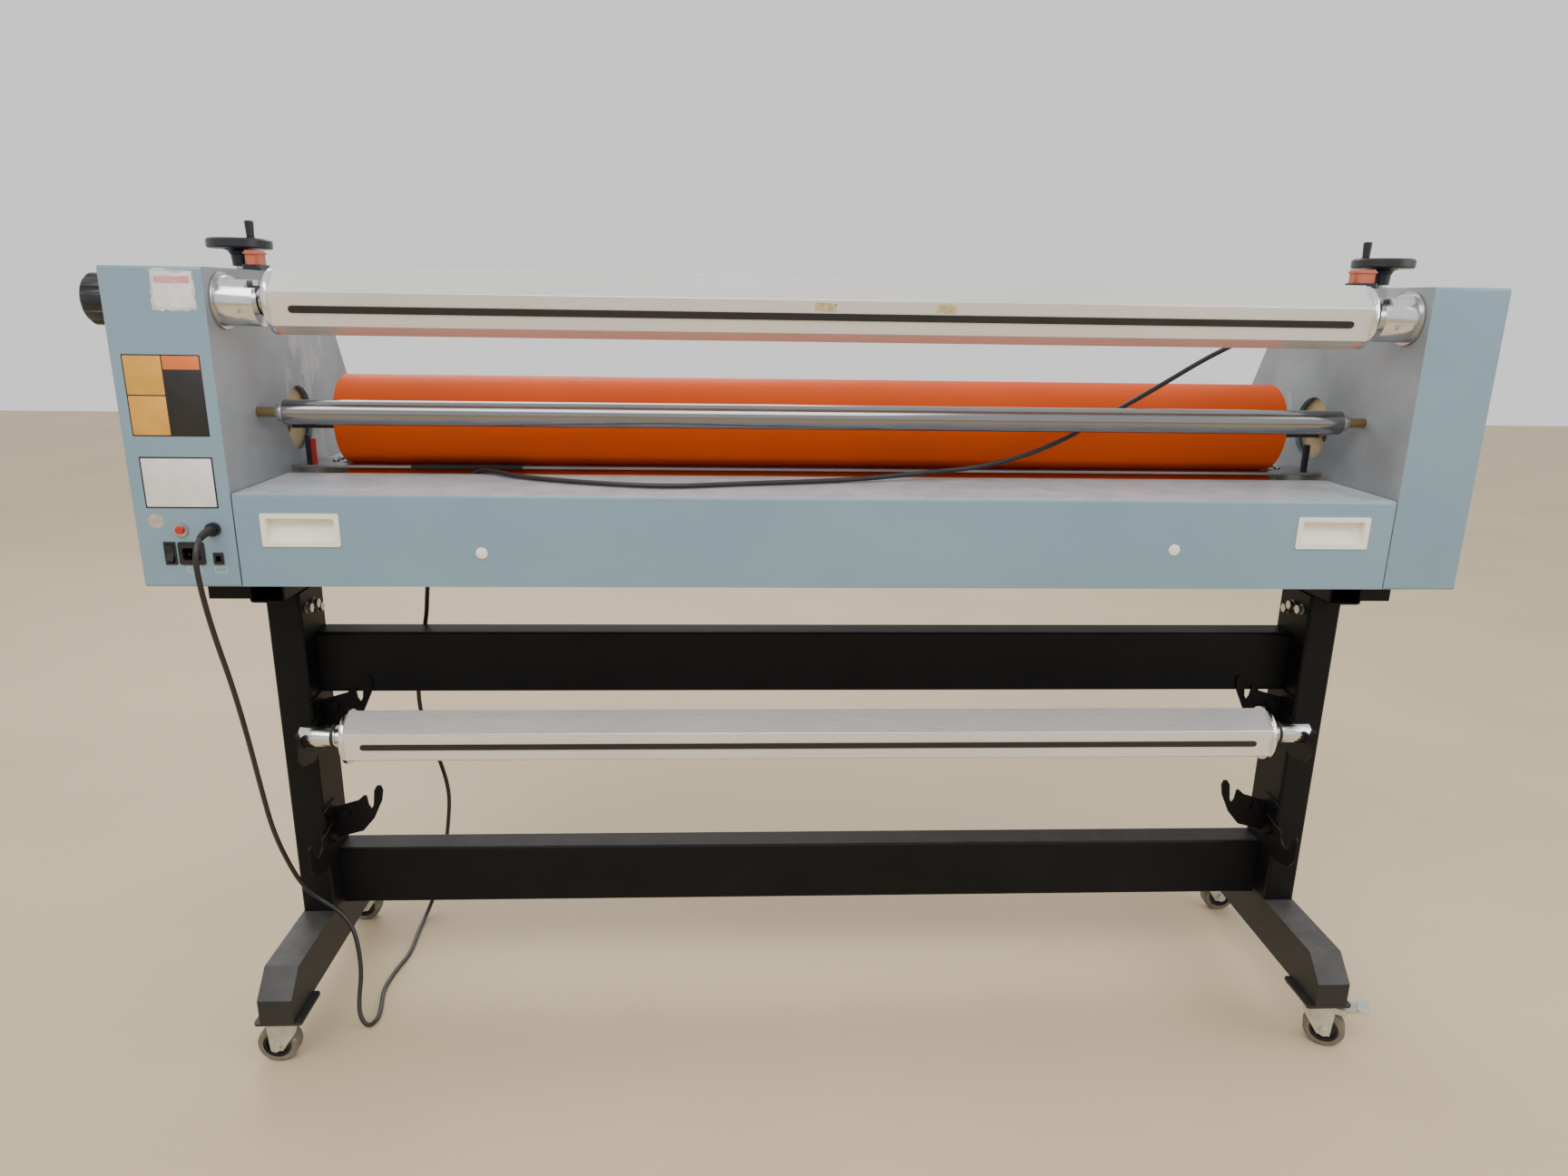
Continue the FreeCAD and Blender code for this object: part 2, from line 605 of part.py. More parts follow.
def hex_shaft(at, tilt, neck_r, stub_end):
    """An extruded hexagonal tube with a strip groove, end flanges and round stubs."""
    y, z = at
    corners = []
    for k in range(6):
        a = math.radians(30 + 60 * k)
        corners.append((HEX_R * math.cos(a), HEX_R * math.sin(a)))
    body = prism_x(corners, -SHAFT_FACE / 2, SHAFT_FACE / 2)
    flat = HEX_R * math.cos(math.radians(30))
    body = rounded(body, X_AXIS, 1.5)
    body = body.cut(rod_x(-SHAFT_FACE / 2 + 20, SHAFT_FACE / 2 - 20, 0, 0, flat - 8))
    groove = block(-STRIP_HALF, STRIP_HALF, -flat - 1, -flat + STRIP_DEPTH, -STRIP_W / 2, STRIP_W / 2)
    for s in (-1, 1):
        groove = groove.fuse(rod_y(-flat - 1, -flat + STRIP_DEPTH, s * STRIP_HALF, 0, STRIP_W / 2))
    body = body.cut(groove)
    for s in (-1, 1):
        end = s * SHAFT_FACE / 2
        body = body.fuse(rod_x(end, end + s * FLANGE_T, 0, 0, HEX_R - 1.5))
        body = body.fuse(rod_x(end + s * FLANGE_T, s * NECK_END, 0, 0, neck_r))
        stub = rod_x(s * NECK_END, s * stub_end, 0, 0, STUB_R)
        ring = rod_x(s * RING_GROOVE[0], s * RING_GROOVE[1], 0, 0, STUB_R + 1)
        ring = ring.cut(rod_x(s * RING_GROOVE[0], s * RING_GROOVE[1], 0, 0, STUB_R - 1.5))
        body = body.fuse(stub.cut(ring))
    body.rotate(vec(0, 0, 0), X_AXIS, tilt)
    body.translate(vec(0, y, z))
    return body


def hex_strip(at, tilt):
    """The rubber strip in the groove and the two O-rings on the stubs."""
    y, z = at
    flat = HEX_R * math.cos(math.radians(30))
    inner, outer = -flat + STRIP_DEPTH, -flat - STRIP_RISE
    strip = block(-STRIP_HALF, STRIP_HALF, inner, outer, -STRIP_W / 2, STRIP_W / 2)
    for s in (-1, 1):
        strip = strip.fuse(rod_y(inner, outer, s * STRIP_HALF, 0, STRIP_W / 2))
    solids = [strip]
    for s in (-1, 1):
        ring = rod_x(s * RING_GROOVE[0], s * RING_GROOVE[1], 0, 0, STUB_R + 0.9)
        solids.append(ring.cut(rod_x(s * (RING_GROOVE[0] - 1), s * (RING_GROOVE[1] + 1), 0, 0, STUB_R - 1.5)))
    for body in solids:
        body.rotate(vec(0, 0, 0), X_AXIS, tilt)
        body.translate(vec(0, y, z))
    return solids


CHUCK_R = 31.0
CHUCK_LEN = 50.0


def chucks():
    """Round cradles for the supply shaft, open at the top, with a latch bar and clamp pad."""
    solids = []
    y, z = SUPPLY
    for side in SIDES.values():
        x0, x1 = side * INNER_X, side * (INNER_X - CHUCK_LEN)
        cup = rod_x(x0, x1, y, z, CHUCK_R)
        xin = side * (INNER_X - 12)
        cup = cup.cut(rod_x(xin, x1 - side, y, z, STUB_R + 1.3))
        cup = cup.cut(block(xin, x1 - side, y - STUB_R - 1.3, y + STUB_R + 1.3, z, z + CHUCK_R + 1))
        chamfer = block(x1 - side, x1 + side * 9, y - CHUCK_R, y + CHUCK_R, z + 16, z + CHUCK_R + 1)
        cup = cup.cut(chamfer)
        cup = cup.cut(rod_y(y - CHUCK_R - 1, y - CHUCK_R + 7, side * (INNER_X - 33), z - 12, 2.6))
        latch = block(xin, x1 + side * 6, y - 8, y + 8, z + STUB_R + 2.5, z + STUB_R + 9.5)
        solids.append(cup.fuse(latch))
        ring = rod_x(x0, x0 - side * 4, y, z, CHUCK_R + 4)
        solids.append(ring.cut(rod_x(x0 + side, x0 - side * 5, y, z, CHUCK_R)))
    return solids


def brake_knob():
    """The fluted unwind brake knob on the left cover, in one with its spindle."""
    y, z = SUPPLY
    x = -OUTER_X[-1]
    profile = [(0, 0.4), (24.0, 0.4), (26.0, 5.0), (31.0, 8.0), (32.0, 11.0), (32.0, 31.0),
               (29.5, 34.0), (0, 35.0)]
    knob = turned_x(profile, -1, x, y, z)
    flutes = []
    for k in range(9):
        a = math.radians(40 * k)
        flutes.append(rod_x(x - 36, x - 6, y + 35.5 * math.cos(a), z + 35.5 * math.sin(a), 6.5))
    knob = knob.cut(Part.makeCompound(flutes))
    return knob.fuse(rod_x(x - 0.4, x + 95, y, z, BRAKE_R))


def idler_tube():
    """A chrome tube whose end plugs turn on the stubs."""
    y, z = IDLER
    tube = rod_x(-IDLER_HALF, IDLER_HALF, y, z, IDLER_R)
    tube = tube.cut(rod_x(-IDLER_HALF + 16, IDLER_HALF - 16, y, z, IDLER_R - 3))
    return tube.cut(rod_x(-IDLER_HALF - 1, IDLER_HALF + 1, y, z, 7.0 + RUN_FIT))


def idler_stubs():
    y, z = IDLER
    solids = []
    for side in SIDES.values():
        stub = rod_x(side * INNER_X, side * (IDLER_HALF - 15), y, z, 7.0)
        collar = rod_x(side * (IDLER_HALF + 0.5), side * (IDLER_HALF + 9.5), y, z, 12.5)
        solids.append(stub.fuse(collar))
    return solids


# ---------------------------------------------------------------- roll hooks

HOOK_T = 3.0
UPPER_NOTCH = 494.0
LOWER_NOTCH = 308.0
HOOK_FLANGE_Y = 204.5


def hook(side, notch):
    """A folded bracket: a cradle plate along Y and a flange along X with an upright hook."""
    x0 = side * LEG_X0
    x1 = side * (LEG_X0 - HOOK_T)
    n = notch
    sy, sz = STORAGE[0], STORAGE[1] - UPPER_NOTCH + n
    side_plate = prism_x([(160, n + 30), (HOOK_FLANGE_Y + HOOK_T, n + 34), (HOOK_FLANGE_Y + HOOK_T, n - 40),
                          (150, n - 62), (112, n - 52), (96, n - 34), (96, n + 2), (101, n + 6),
                          (107, n + 4), (sy - STUB_R - 0.6, sz), (sy + STUB_R + 0.6, sz),
                          (sy + STUB_R + 3, n - 6), (163, n - 6), (198, n)], x0, x1)
    side_plate = side_plate.cut(rod_x(x0 + side, x1 - side, sy, sz, STUB_R + 0.6))
    near, far = side * LEG_X0, side * 691.0
    flange_out = [(near, n - 36), (side * 728, n - 24), (side * 709, n - 2), (side * 694, n + 30),
                  (far, n + 48), (side * 694, n + 56), (side * 700, n + 56), (side * 705, n + 48),
                  (side * 708, n + 22), (side * 712, n + 15), (side * 716, n + 22),
                  (side * 718, n + 38), (side * 722, n + 39), (side * 732, n + 30), (near, n + 18)]
    flange = prism_y(flange_out, HOOK_FLANGE_Y, HOOK_FLANGE_Y + HOOK_T)
    return side_plate.fuse(flange)


def roll_hooks():
    solids = []
    for side in SIDES.values():
        for notch in (UPPER_NOTCH, LOWER_NOTCH):
            solids.append(hook(side, notch))
            solids.append(hexagon_bolt(side * (LEG_X0 - HOOK_T), 180.0, notch - 22.0, -side, 13.0, 6.0, 1.6))
            head = rod_y(HOOK_FLANGE_Y - 6, HOOK_FLANGE_Y, side * 752.0, notch + 8, 6.5)
            solids.append(head)
    return solids


# ---------------------------------------------------------------- tables and guard

PULL_W = 100.0
PULL_H = 44.0
PULL_DEPTH = 13.0
PULL_ROUND = 3.0
PULLS = ((-688.0, 829.0), (688.0, 832.0))
CAPS = ((-457.5, 799.0), (471.0, 807.5))


def feed_table():
    """A folded sheet with end plates that swing on two low pins."""
    solids = table_skin()
    for side in SIDES.values():
        x1 = side * TABLE_X
        x0 = side * (TABLE_X - SKIN)
        end = prism_x([(SKIN, CAB_BOTTOM + 1), (SKIN, TABLE_Z - SKIN), (TABLE_DEPTH, TABLE_Z - SKIN),
                       (TABLE_DEPTH, CAB_BOTTOM + 1)], x0, x1)
        solids = solids.fuse(end)
    for side in SIDES.values():
        pin = rod_x(side * (TABLE_X - 6), side * (TABLE_X + 1), TABLE_PIVOT[0], TABLE_PIVOT[1],
                    PIVOT_R + RUN_FIT)
        solids = solids.cut(pin)
    for x, z in PULLS:
        w, h = PULL_W / 2 - 4, PULL_H / 2 - 4
        solids = solids.cut(block(x - w, x + w, -1, SKIN + 1, z - h, z + h))
    return solids


def table_skin():
    """The top, front and lips of the feed table as one bent sheet."""
    z0 = CAB_BOTTOM + 1
    outer = [(0, z0), (0, TABLE_Z), (TABLE_DEPTH, TABLE_Z), (TABLE_DEPTH, z0)]
    body = prism_x(outer, -TABLE_X, TABLE_X)
    bend = [e for e in edges_along(body, X_AXIS) if e.Vertexes[0].Point.y < 1 and e.Vertexes[0].Point.z > z0 + 1]
    body = body.makeFillet(BEND, bend)
    cavity = prism_x([(SKIN, z0 - 1), (SKIN, TABLE_Z - SKIN), (TABLE_DEPTH + 1, TABLE_Z - SKIN),
                      (TABLE_DEPTH + 1, z0 - 1)], -TABLE_X - 1, TABLE_X + 1)
    body = body.cut(cavity)
    lip = block(-TABLE_X, TABLE_X, SKIN, 18, z0, z0 + SKIN)
    rear_lip = block(-TABLE_X, TABLE_X, TABLE_DEPTH - SKIN, TABLE_DEPTH, TABLE_Z - 12, TABLE_Z - SKIN)
    return body.fuse([lip, rear_lip])


def table_fittings():
    """Two flush pulls with deeper finger pockets at the top, and two round caps."""
    solids = []
    for x, z in PULLS:
        w, h = PULL_W / 2, PULL_H / 2
        frame = rounded(block(x - w, x + w, -1.6, 0, z - h, z + h), Y_AXIS, PULL_ROUND)
        tray = block(x - w + 4.3, x + w - 4.3, 0, PULL_DEPTH, z - h + 4.3, z + h - 4.3)
        pull = frame.fuse(tray)
        w, h = w - 6.5, h - 6.5
        pocket = rounded(block(x - w, x + w, -2, PULL_DEPTH - 2, z - h, z + h), Y_AXIS, PULL_ROUND)
        pull = pull.cut(pocket)
        bar = prism_x([(PULL_DEPTH - 2, z - h - 1), (3.0, z - h - 1), (PULL_DEPTH - 2, z + 3)], x - w, x + w)
        solids.append(pull.fuse(bar))
    for x, z in CAPS:
        dome = turned_z([(0, 0), (8.0, 0), (7.2, 1.6), (4.0, 2.6), (0, 2.9)], 0, 0, 0)
        dome.rotate(vec(0, 0, 0), X_AXIS, 90)
        dome.translate(vec(x, 0, z))
        solids.append(dome)
    return solids


REAR_Y0 = 306.0


def rear_table():
    """The fixed exit table behind the rollers."""
    top = block(-INNER_X, INNER_X, REAR_Y0, CAB_DEPTH - 4, TABLE_Z - SKIN, TABLE_Z)
    back = block(-INNER_X, INNER_X, CAB_DEPTH - 4 - SKIN, CAB_DEPTH - 4, CAB_BOTTOM + 1, TABLE_Z - SKIN)
    lip = block(-INNER_X, INNER_X, REAR_Y0, REAR_Y0 + SKIN, TABLE_Z - 12, TABLE_Z - SKIN)
    foot_lip = block(-INNER_X, INNER_X, CAB_DEPTH - 22, CAB_DEPTH - 4 - SKIN, CAB_BOTTOM + 1,
                     CAB_BOTTOM + 1 + SKIN)
    return top.fuse([back, lip, foot_lip])


GUARD = (192.0, 212.0, 881.0, 884.6)
TAB_X = 708.0
TAB_Y1 = 265.0


def nip_bar():
    """The guard strip in front of the nip, with wide tabs screwed to the side plates."""
    y0, y1, z0, z1 = GUARD
    bar = block(-INNER_X, INNER_X, y0, y1, z0, z1)
    for side in SIDES.values():
        bar = bar.fuse(block(side * TAB_X, side * INNER_X, y1, TAB_Y1, z0, z1))
    return bar


def nip_posts():
    """Small upright posts on the tabs, with the red strip beside the left one, and screws."""
    z0 = GUARD[3]
    solids = [block(-751, -744, 197, 204, z0, 926), block(-743.6, -736.6, 198, 201, z0, 922),
              block(744, 751, 197, 204, z0, 926)]
    for x in (-722.0, 722.0):
        solids.append(rod_z(z0, z0 + 3, x, 232.0, 5.0))
        solids.append(rod_z(z0, z0 + 3, x, 252.0, 5.0))
    return solids


# ---------------------------------------------------------------- panel

ROCKER_AXIS_Y = 1.0
ROCKER_LEAN = 9.0


def panel_fittings():
    """Switch bezel, mains inlet, small socket, reset ring and cord gland."""
    x0, x1, z0, z1 = ROCKER_SLOT
    bezel = block(x0, x1, -1.5, 0, z0, z1).fuse(block(x0 + 1.7, x1 - 1.7, 0, 22, z0 + 1.7, z1 - 1.7))
    bezel = bezel.cut(block(x0 + 2.7, x1 - 2.7, -2, 12, z0 + 2.7, z1 - 2.7))
    x0, x1, z0, z1 = INLET_SLOT
    inlet = rounded(block(x0, x1, -2.0, 0, z0, z1), Y_AXIS, 3.0)
    inlet = inlet.fuse(block(x0 + 2.7, x1 - 2.7, 0, 26, z0 + 2.7, z1 - 2.7))
    inlet = inlet.cut(rounded(block(x0 + 5, x1 - 5, -3, 18, z0 + 6, z1 - 8), Y_AXIS, 3.0))
    xm = (x0 + x1) / 2
    zm = (z0 + z1) / 2 - 1
    for dx, dz in ((-6.5, -1.5), (0.0, 2.5), (6.5, -1.5)):
        inlet = inlet.fuse(block(xm + dx - 1, xm + dx + 1, 5, 19, zm + dz - 2, zm + dz + 2))
    x0, x1, z0, z1 = SOCKET_SLOT
    jack = block(x0, x1, -2.2, 0, z0, z1).fuse(block(x0 + 1.2, x1 - 1.2, 0, 16, z0 + 1.2, z1 - 1.2))
    jack = jack.cut(block(x0 + 3, x1 - 3, -3, 10, z0 + 4, z1 - 4))
    x, z = RESET_AT
    ring = rod_y(-2.6, 0, x, z, 9.0).fuse(rod_y(0, 14, x, z, 6.9)).cut(rod_y(-3, 11, x, z, 5.4))
    x, z = GLAND_AT
    gland = rod_y(-7, 0, x, z, 9.0).fuse([rod_y(0, 10, x, z, 5.9), rod_y(-13, -7, x, z, 6.6)])
    gland = gland.cut(rod_y(-14, 11, x, z, CORD_D / 2 + 0.2))
    return [bezel, inlet, jack, ring, gland]


def rocker():
    """The switch paddle, at rest rocked to one side about an axis along X."""
    x0, x1, z0, z1 = ROCKER_SLOT
    zm = (z0 + z1) / 2
    half = (z1 - z0) / 2 - 4.2
    outline = [(-1.2, zm - half), (-3.8, zm - half), (-2.0, zm), (-3.8, zm + half), (-1.2, zm + half),
               (6.5, zm + 5), (6.5, zm - 5)]
    paddle = prism_x(outline, x0 + 3.2, x1 - 3.2)
    paddle.rotate(vec(0, ROCKER_AXIS_Y, zm), X_AXIS, -ROCKER_LEAN)
    return paddle


def reset_button():
    x, z = RESET_AT
    return rod_y(-7.0, 3.0, x, z, 5.0)


# ---------------------------------------------------------------- cord and pedal

ROUTE = [
    (-797.6, -12.0, 830.0), (-797.6, -33.3, 829.8), (-797.9, -50.0, 815.7), (-798.3, -54.6, 794.6),
    (-798.8, -49.0, 757.2), (-799.3, -33.2, 697.5), (-800.1, -1.6, 611.5), (-802.3, 24.9, 523.8),
    (-806.6, 51.1, 436.1), (-811.7, 80.5, 349.4), (-808.4, 116.6, 265.6), (-800.8, 136.0, 222.5),
    (-787.2, 145.8, 197.0), (-763.8, 148.7, 177.2), (-743.0, 142.5, 162.0), (-727.7, 131.7, 135.1),
    (-718.7, 115.3, 83.1), (-721.0, 97.9, 44.1), (-717.0, 85.2, 22.1), (-704.5, 80.3, 6.2),
    (-695.9, 99.7, 4.6), (-699.7, 129.1, 4.5), (-711.9, 176.4, 4.1), (-706.4, 231.3, 4.2),
    (-696.4, 274.6, 4.3), (-702.3, 343.5, 4.1), (-702.5, 380.0, 4.7), (-697.3, 408.5, 18.8),
    (-690.3, 424.6, 39.1), (-680.5, 429.5, 69.6), (-666.9, 420.3, 121.9), (-646.2, 390.0, 205.2),
    (-628.2, 349.0, 285.0), (-633.3, 314.7, 369.6), (-650.1, 288.1, 455.6), (-640.4, 272.4, 543.4),
    (-616.6, 261.6, 631.2), (-605.5, 238.6, 681.8), (-583.4, 187.6, 736.3), (-558.2, 160.6, 787.3),
    (-541.3, 158.5, 823.5), (-526.9, 173.2, 854.9), (-514.5, 181.8, 870.6), (-496.2, 180.3, 881.6),
    (-472.6, 162.4, 881.8), (-434.5, 129.2, 880.4), (-357.5, 92.1, 880.4), (-270.3, 63.9, 880.4),
    (-200.1, 56.0, 880.4), (-117.3, 81.3, 880.4), (-28.0, 100.6, 880.4), (60.2, 125.2, 880.8),
    (149.3, 144.9, 887.4), (240.4, 148.8, 896.1), (327.7, 149.1, 923.0), (407.2, 147.8, 968.2),
    (485.8, 146.1, 1015.5), (543.8, 146.0, 1052.3), (579.7, 147.9, 1070.8), (614.0, 164.1, 1084.4),
    (657.5, 212.0, 1096.1), (706.2, 289.2, 1103.0), (739.5, 351.0, 1110.0), (762.7, 391.7, 1109.0),
    (777.9, 413.0, 1097.5), (792.8, 430.0, 1061.5), (800.9, 463.5, 994.2), (799.9, 481.0, 957.5),
    (795.7, 484.0, 934.7), (785.6, 486.1, 915.6), (759.2, 479.5, 897.6), (714.3, 453.8, 884.2),
    (690.8, 434.5, 883.3), (666.2, 420.2, 889.8), (645.0, 417.5, 893.5)]
PEDAL = (548.0, 649.0, 362.0, 436.0)
PEDAL_Z = TABLE_Z
TREADLE_AXIS = (628.0, 897.0)


def route_tube(points, r):
    """A tube of straight runs joined by tangent arcs."""
    pts = [vec(*p) for p in points]
    radii = []
    cuts = [(pts[0], pts[0])]
    edges = []
    here = pts[0]
    for a, b, c in zip(pts, pts[1:], pts[2:]):
        u = (b - a).normalize()
        v = (c - b).normalize()
        turn = u.getAngle(v)
        step = 0.45 * min((b - a).Length, (c - b).Length)
        radius = step / math.tan(turn / 2)
        radii.append(radius)
        start = b - u * step
        end = b + v * step
        toward = (v - u).normalize()
        centre = b + toward * (radius / math.cos(turn / 2))
        middle = centre - toward * radius
        edges.append(Part.makeLine(here, start))
        edges.append(Part.Arc(start, middle, end).toShape())
        cuts.append((start, end))
        here = end
    edges.append(Part.makeLine(here, pts[-1]))
    wire = Part.Wire(edges)
    section = Part.Wire([Part.makeCircle(r, pts[0], (pts[1] - pts[0]).normalize())])
    tube = wire.makePipeShell([section], True, False, 1)
    ratio = tube.Volume / (math.pi * r * r * wire.Length)
    print("cord length", round(wire.Length, 1), "volume ratio", round(ratio, 4))
    print("cord arc radii", [round(q, 1) for q in radii])
    return tube


def pedal_base():
    """The foot switch's body, put away on the rear table, its cord leaving towards +X."""
    x0, x1, y0, y1 = PEDAL
    z0 = PEDAL_Z
    plate = rounded(block(x0, x1, y0, y1, z0, z0 + 6), Z_AXIS, 6.0)
    for y in (y0 + 2, y1 - 8):
        cheek = prism_y([(x1 - 40, z0 + 6), (x1 - 2, z0 + 6), (x1 - 2, z0 + 26), (x1 - 14, z0 + 30),
                         (x1 - 26, z0 + 22)], y, y + 6)
        plate = plate.fuse(cheek)
    box = block(x1 - 22, x1 - 2, y0 + 24, y1 - 10, z0 + 6, z0 + 12)
    port = rod_x(x1 - 8, x1, GUIDE_Y, GUIDE_Z, 6.5)
    plate = plate.fuse([box, port, block(x1 - 6, x1 - 2, GUIDE_Y - 9, GUIDE_Y + 9, z0 + 6, z0 + 24)])
    away = (vec(*ROUTE[-2]) - vec(*ROUTE[-1])).normalize()
    plate = plate.cut(Part.makeCylinder(CORD_D / 2 + 0.2, 16.0, vec(*ROUTE[-1]) - away, away))
    pin = rod_y(y0 + 2, y1 - 2, TREADLE_AXIS[0], TREADLE_AXIS[1], PIN_R)
    return plate.fuse(pin)


def pedal_treadle():
    """The sprung treadle, hinged at the cord end."""
    x0, x1, y0, y1 = PEDAL
    z0 = PEDAL_Z
    ax, az = TREADLE_AXIS
    outline = [(x0 + 2, z0 + 15), (x0 + 2, z0 + 19), (ax - 6, az + 5), (ax + 4, az + 5), (ax + 5.5, az),
               (ax, az - 5), (ax - 8, az - 3)]
    tread = prism_y(outline, y0 + 9, y1 - 9)
    return tread.cut(rod_y(y0, y1, ax, az, PIN_R + RUN_FIT))


GUIDE_Y = ROUTE[-1][1]
GUIDE_Z = ROUTE[-1][2]


def main():
    os.makedirs("parts", exist_ok=True)
    for name, side in SIDES.items():
        save("leg_" + name, leg(side))
        save("foot_" + name, foot(side))
        save("cabinet_" + name, shell(side))
        save("cover_" + name, cover(side))
        save("handwheel_" + name, handwheel(side))
        save("crank_" + name, crank(side))
    for name, place in CASTERS.items():
        save("fork_" + name, fork(place, name == BRAKED))
        save("wheel_" + name, wheel(place))
    save("brake_" + BRAKED, brake(CASTERS[BRAKED]))
    motor, output = gearmotor()
    pinion = sprocket(PINION_AT[0], PINION_AT[1], PINION_R, PINION_TEETH, OUTPUT_R)
    upper = roller_core(UPPER_Z, -BLOCK_X1 - 6, BLOCK_X1 + 6)
    lower = roller_core(LOWER_Z, -852.0, 800.0)
    lower = lower.fuse(sprocket(ROLLER_Y, LOWER_Z, SPROCKET_R, ROLLER_TEETH, JOURNAL_R))
    pieces = {
        "upper_beam": beam(*UPPER_BEAM),
        "lower_beam": beam(*LOWER_BEAM),
        "cabinet_saddles": saddle(-1) + saddle(1),
        "frame_bolts": frame_bolts(),
        "caster_plates": caster_plates(),
        "cabinet_screws": cabinet_screws(),
        "upper_roller_cover": roller_cover(UPPER_Z),
        "lower_roller_cover": roller_cover(LOWER_Z),
        "upper_roller_core": upper,
        "lower_roller_core": lower,
        "upper_bearings": upper_bearings(),
        "bearing_housings": bearing_housings(),
        "gearmotor": motor,
        "drive_pinion": output.fuse(pinion),
        "drive_chain": chain(),
        "indicators": indicators(),
        "supply_shaft": hex_shaft(SUPPLY, SUPPLY_TILT, STUB_R, STUB_END),
        "supply_strip": hex_strip(SUPPLY, SUPPLY_TILT),
        "shaft_chucks": chucks(),
        "brake_knob": brake_knob(),
        "idler_tube": idler_tube(),
        "idler_stubs": idler_stubs(),
        "storage_shaft": hex_shaft(STORAGE, STORAGE_TILT, 11.0, 774.0),
        "storage_strip": hex_strip(STORAGE, STORAGE_TILT),
        "roll_hooks": roll_hooks(),
        "feed_table": feed_table(),
        "table_fittings": table_fittings(),
        "rear_table": rear_table(),
        "nip_bar": nip_bar(),
        "nip_posts": nip_posts(),
        "panel_fittings": panel_fittings(),
        "rocker": rocker(),
        "reset_button": reset_button(),
        "cord": route_tube(ROUTE, CORD_D / 2),
        "pedal_base": pedal_base(),
        "pedal_treadle": pedal_treadle(),
    }
    for name, solids in pieces.items():
        save(name, solids)


main()
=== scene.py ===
import bpy
import bmesh
import math
import random
from mathutils import Matrix, Vector


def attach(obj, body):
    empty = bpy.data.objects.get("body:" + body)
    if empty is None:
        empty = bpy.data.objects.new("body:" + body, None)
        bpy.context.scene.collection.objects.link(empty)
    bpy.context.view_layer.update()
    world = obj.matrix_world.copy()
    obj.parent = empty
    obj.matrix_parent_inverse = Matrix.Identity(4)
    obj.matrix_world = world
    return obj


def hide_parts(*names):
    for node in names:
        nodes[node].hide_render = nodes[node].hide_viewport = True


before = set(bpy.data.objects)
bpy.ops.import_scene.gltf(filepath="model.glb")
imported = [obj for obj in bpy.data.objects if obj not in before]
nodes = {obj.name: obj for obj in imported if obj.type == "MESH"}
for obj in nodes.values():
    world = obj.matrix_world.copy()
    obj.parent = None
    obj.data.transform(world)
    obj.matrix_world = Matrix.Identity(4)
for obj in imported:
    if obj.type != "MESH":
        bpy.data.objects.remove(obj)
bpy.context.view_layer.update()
scene = bpy.context.scene

# Lengths below are in mm in the working frame of the machine: X = 0 at the middle of
# the rollers, Y = 0 at the front of the cabinets, Z = 0 on the floor. SHIFT, in metres,
# leads from there to the frame's origin under the middle of the machine.
SHIFT = Vector((0.021, -0.222621, 0.0))


def at(x, y, z):
    return Vector((x, y, z)) / 1000.0 + SHIFT


def working(point):
    return (Vector(point) - SHIFT) * 1000.0


# ---------------------------------------------------------------- camera

YAW, PITCH, ROLL = 0.0481, 0.2693, -0.0154
LENS = 23.594
SENSOR_WIDTH = 36.0
EYE = (-122.33, -1333.11, 1121.14)


def make_camera():
    level = math.cos(PITCH)
    forward = Vector((math.sin(YAW) * level, math.cos(YAW) * level, -math.sin(PITCH)))
    right = Vector((math.cos(YAW), -math.sin(YAW), 0.0))
    down = forward.cross(right)
    x_axis = math.cos(ROLL) * right + math.sin(ROLL) * down
    y_axis = math.sin(ROLL) * right - math.cos(ROLL) * down
    data = bpy.data.cameras.new("camera")
    data.sensor_fit = "HORIZONTAL"
    data.sensor_width = SENSOR_WIDTH
    data.lens = LENS
    data.clip_start = 0.02
    data.clip_end = 60.0
    cam = bpy.data.objects.new("camera", data)
    turn = Matrix((x_axis, y_axis, -forward)).transposed().to_4x4()
    cam.matrix_world = Matrix.Translation(at(*EYE)) @ turn
    scene.collection.objects.link(cam)
    scene.camera = cam


make_camera()

# ---------------------------------------------------------------- materials


def new_tree(name):
    mat = bpy.data.materials.new(name)
    mat.use_nodes = True
    tree = mat.node_tree
    return mat, tree, tree.nodes["Principled BSDF"]


def coords(tree, stretch=(1.0, 1.0, 1.0)):
    source = tree.nodes.new("ShaderNodeTexCoord")
    mapping = tree.nodes.new("ShaderNodeMapping")
    mapping.inputs["Scale"].default_value = stretch
    tree.links.new(source.outputs["Object"], mapping.inputs["Vector"])
    return source, mapping.outputs["Vector"]


def noise(tree, vector, scale, detail=5.0, rough=0.55):
    node = tree.nodes.new("ShaderNodeTexNoise")
    node.inputs["Scale"].default_value = scale
    node.inputs["Detail"].default_value = detail
    node.inputs["Roughness"].default_value = rough
    tree.links.new(vector, node.inputs["Vector"])
    return node.outputs["Fac"]


def remap(tree, value, lo, hi, to_lo, to_hi):
    node = tree.nodes.new("ShaderNodeMapRange")
    for key, number in (("From Min", lo), ("From Max", hi), ("To Min", to_lo), ("To Max", to_hi)):
        node.inputs[key].default_value = number
    tree.links.new(value, node.inputs["Value"])
    return node.outputs["Result"]


def times(tree, a, b):
    node = tree.nodes.new("ShaderNodeMath")
    node.operation = "MULTIPLY"
    tree.links.new(a, node.inputs[0])
    tree.links.new(b, node.inputs[1])
    return node.outputs[0]


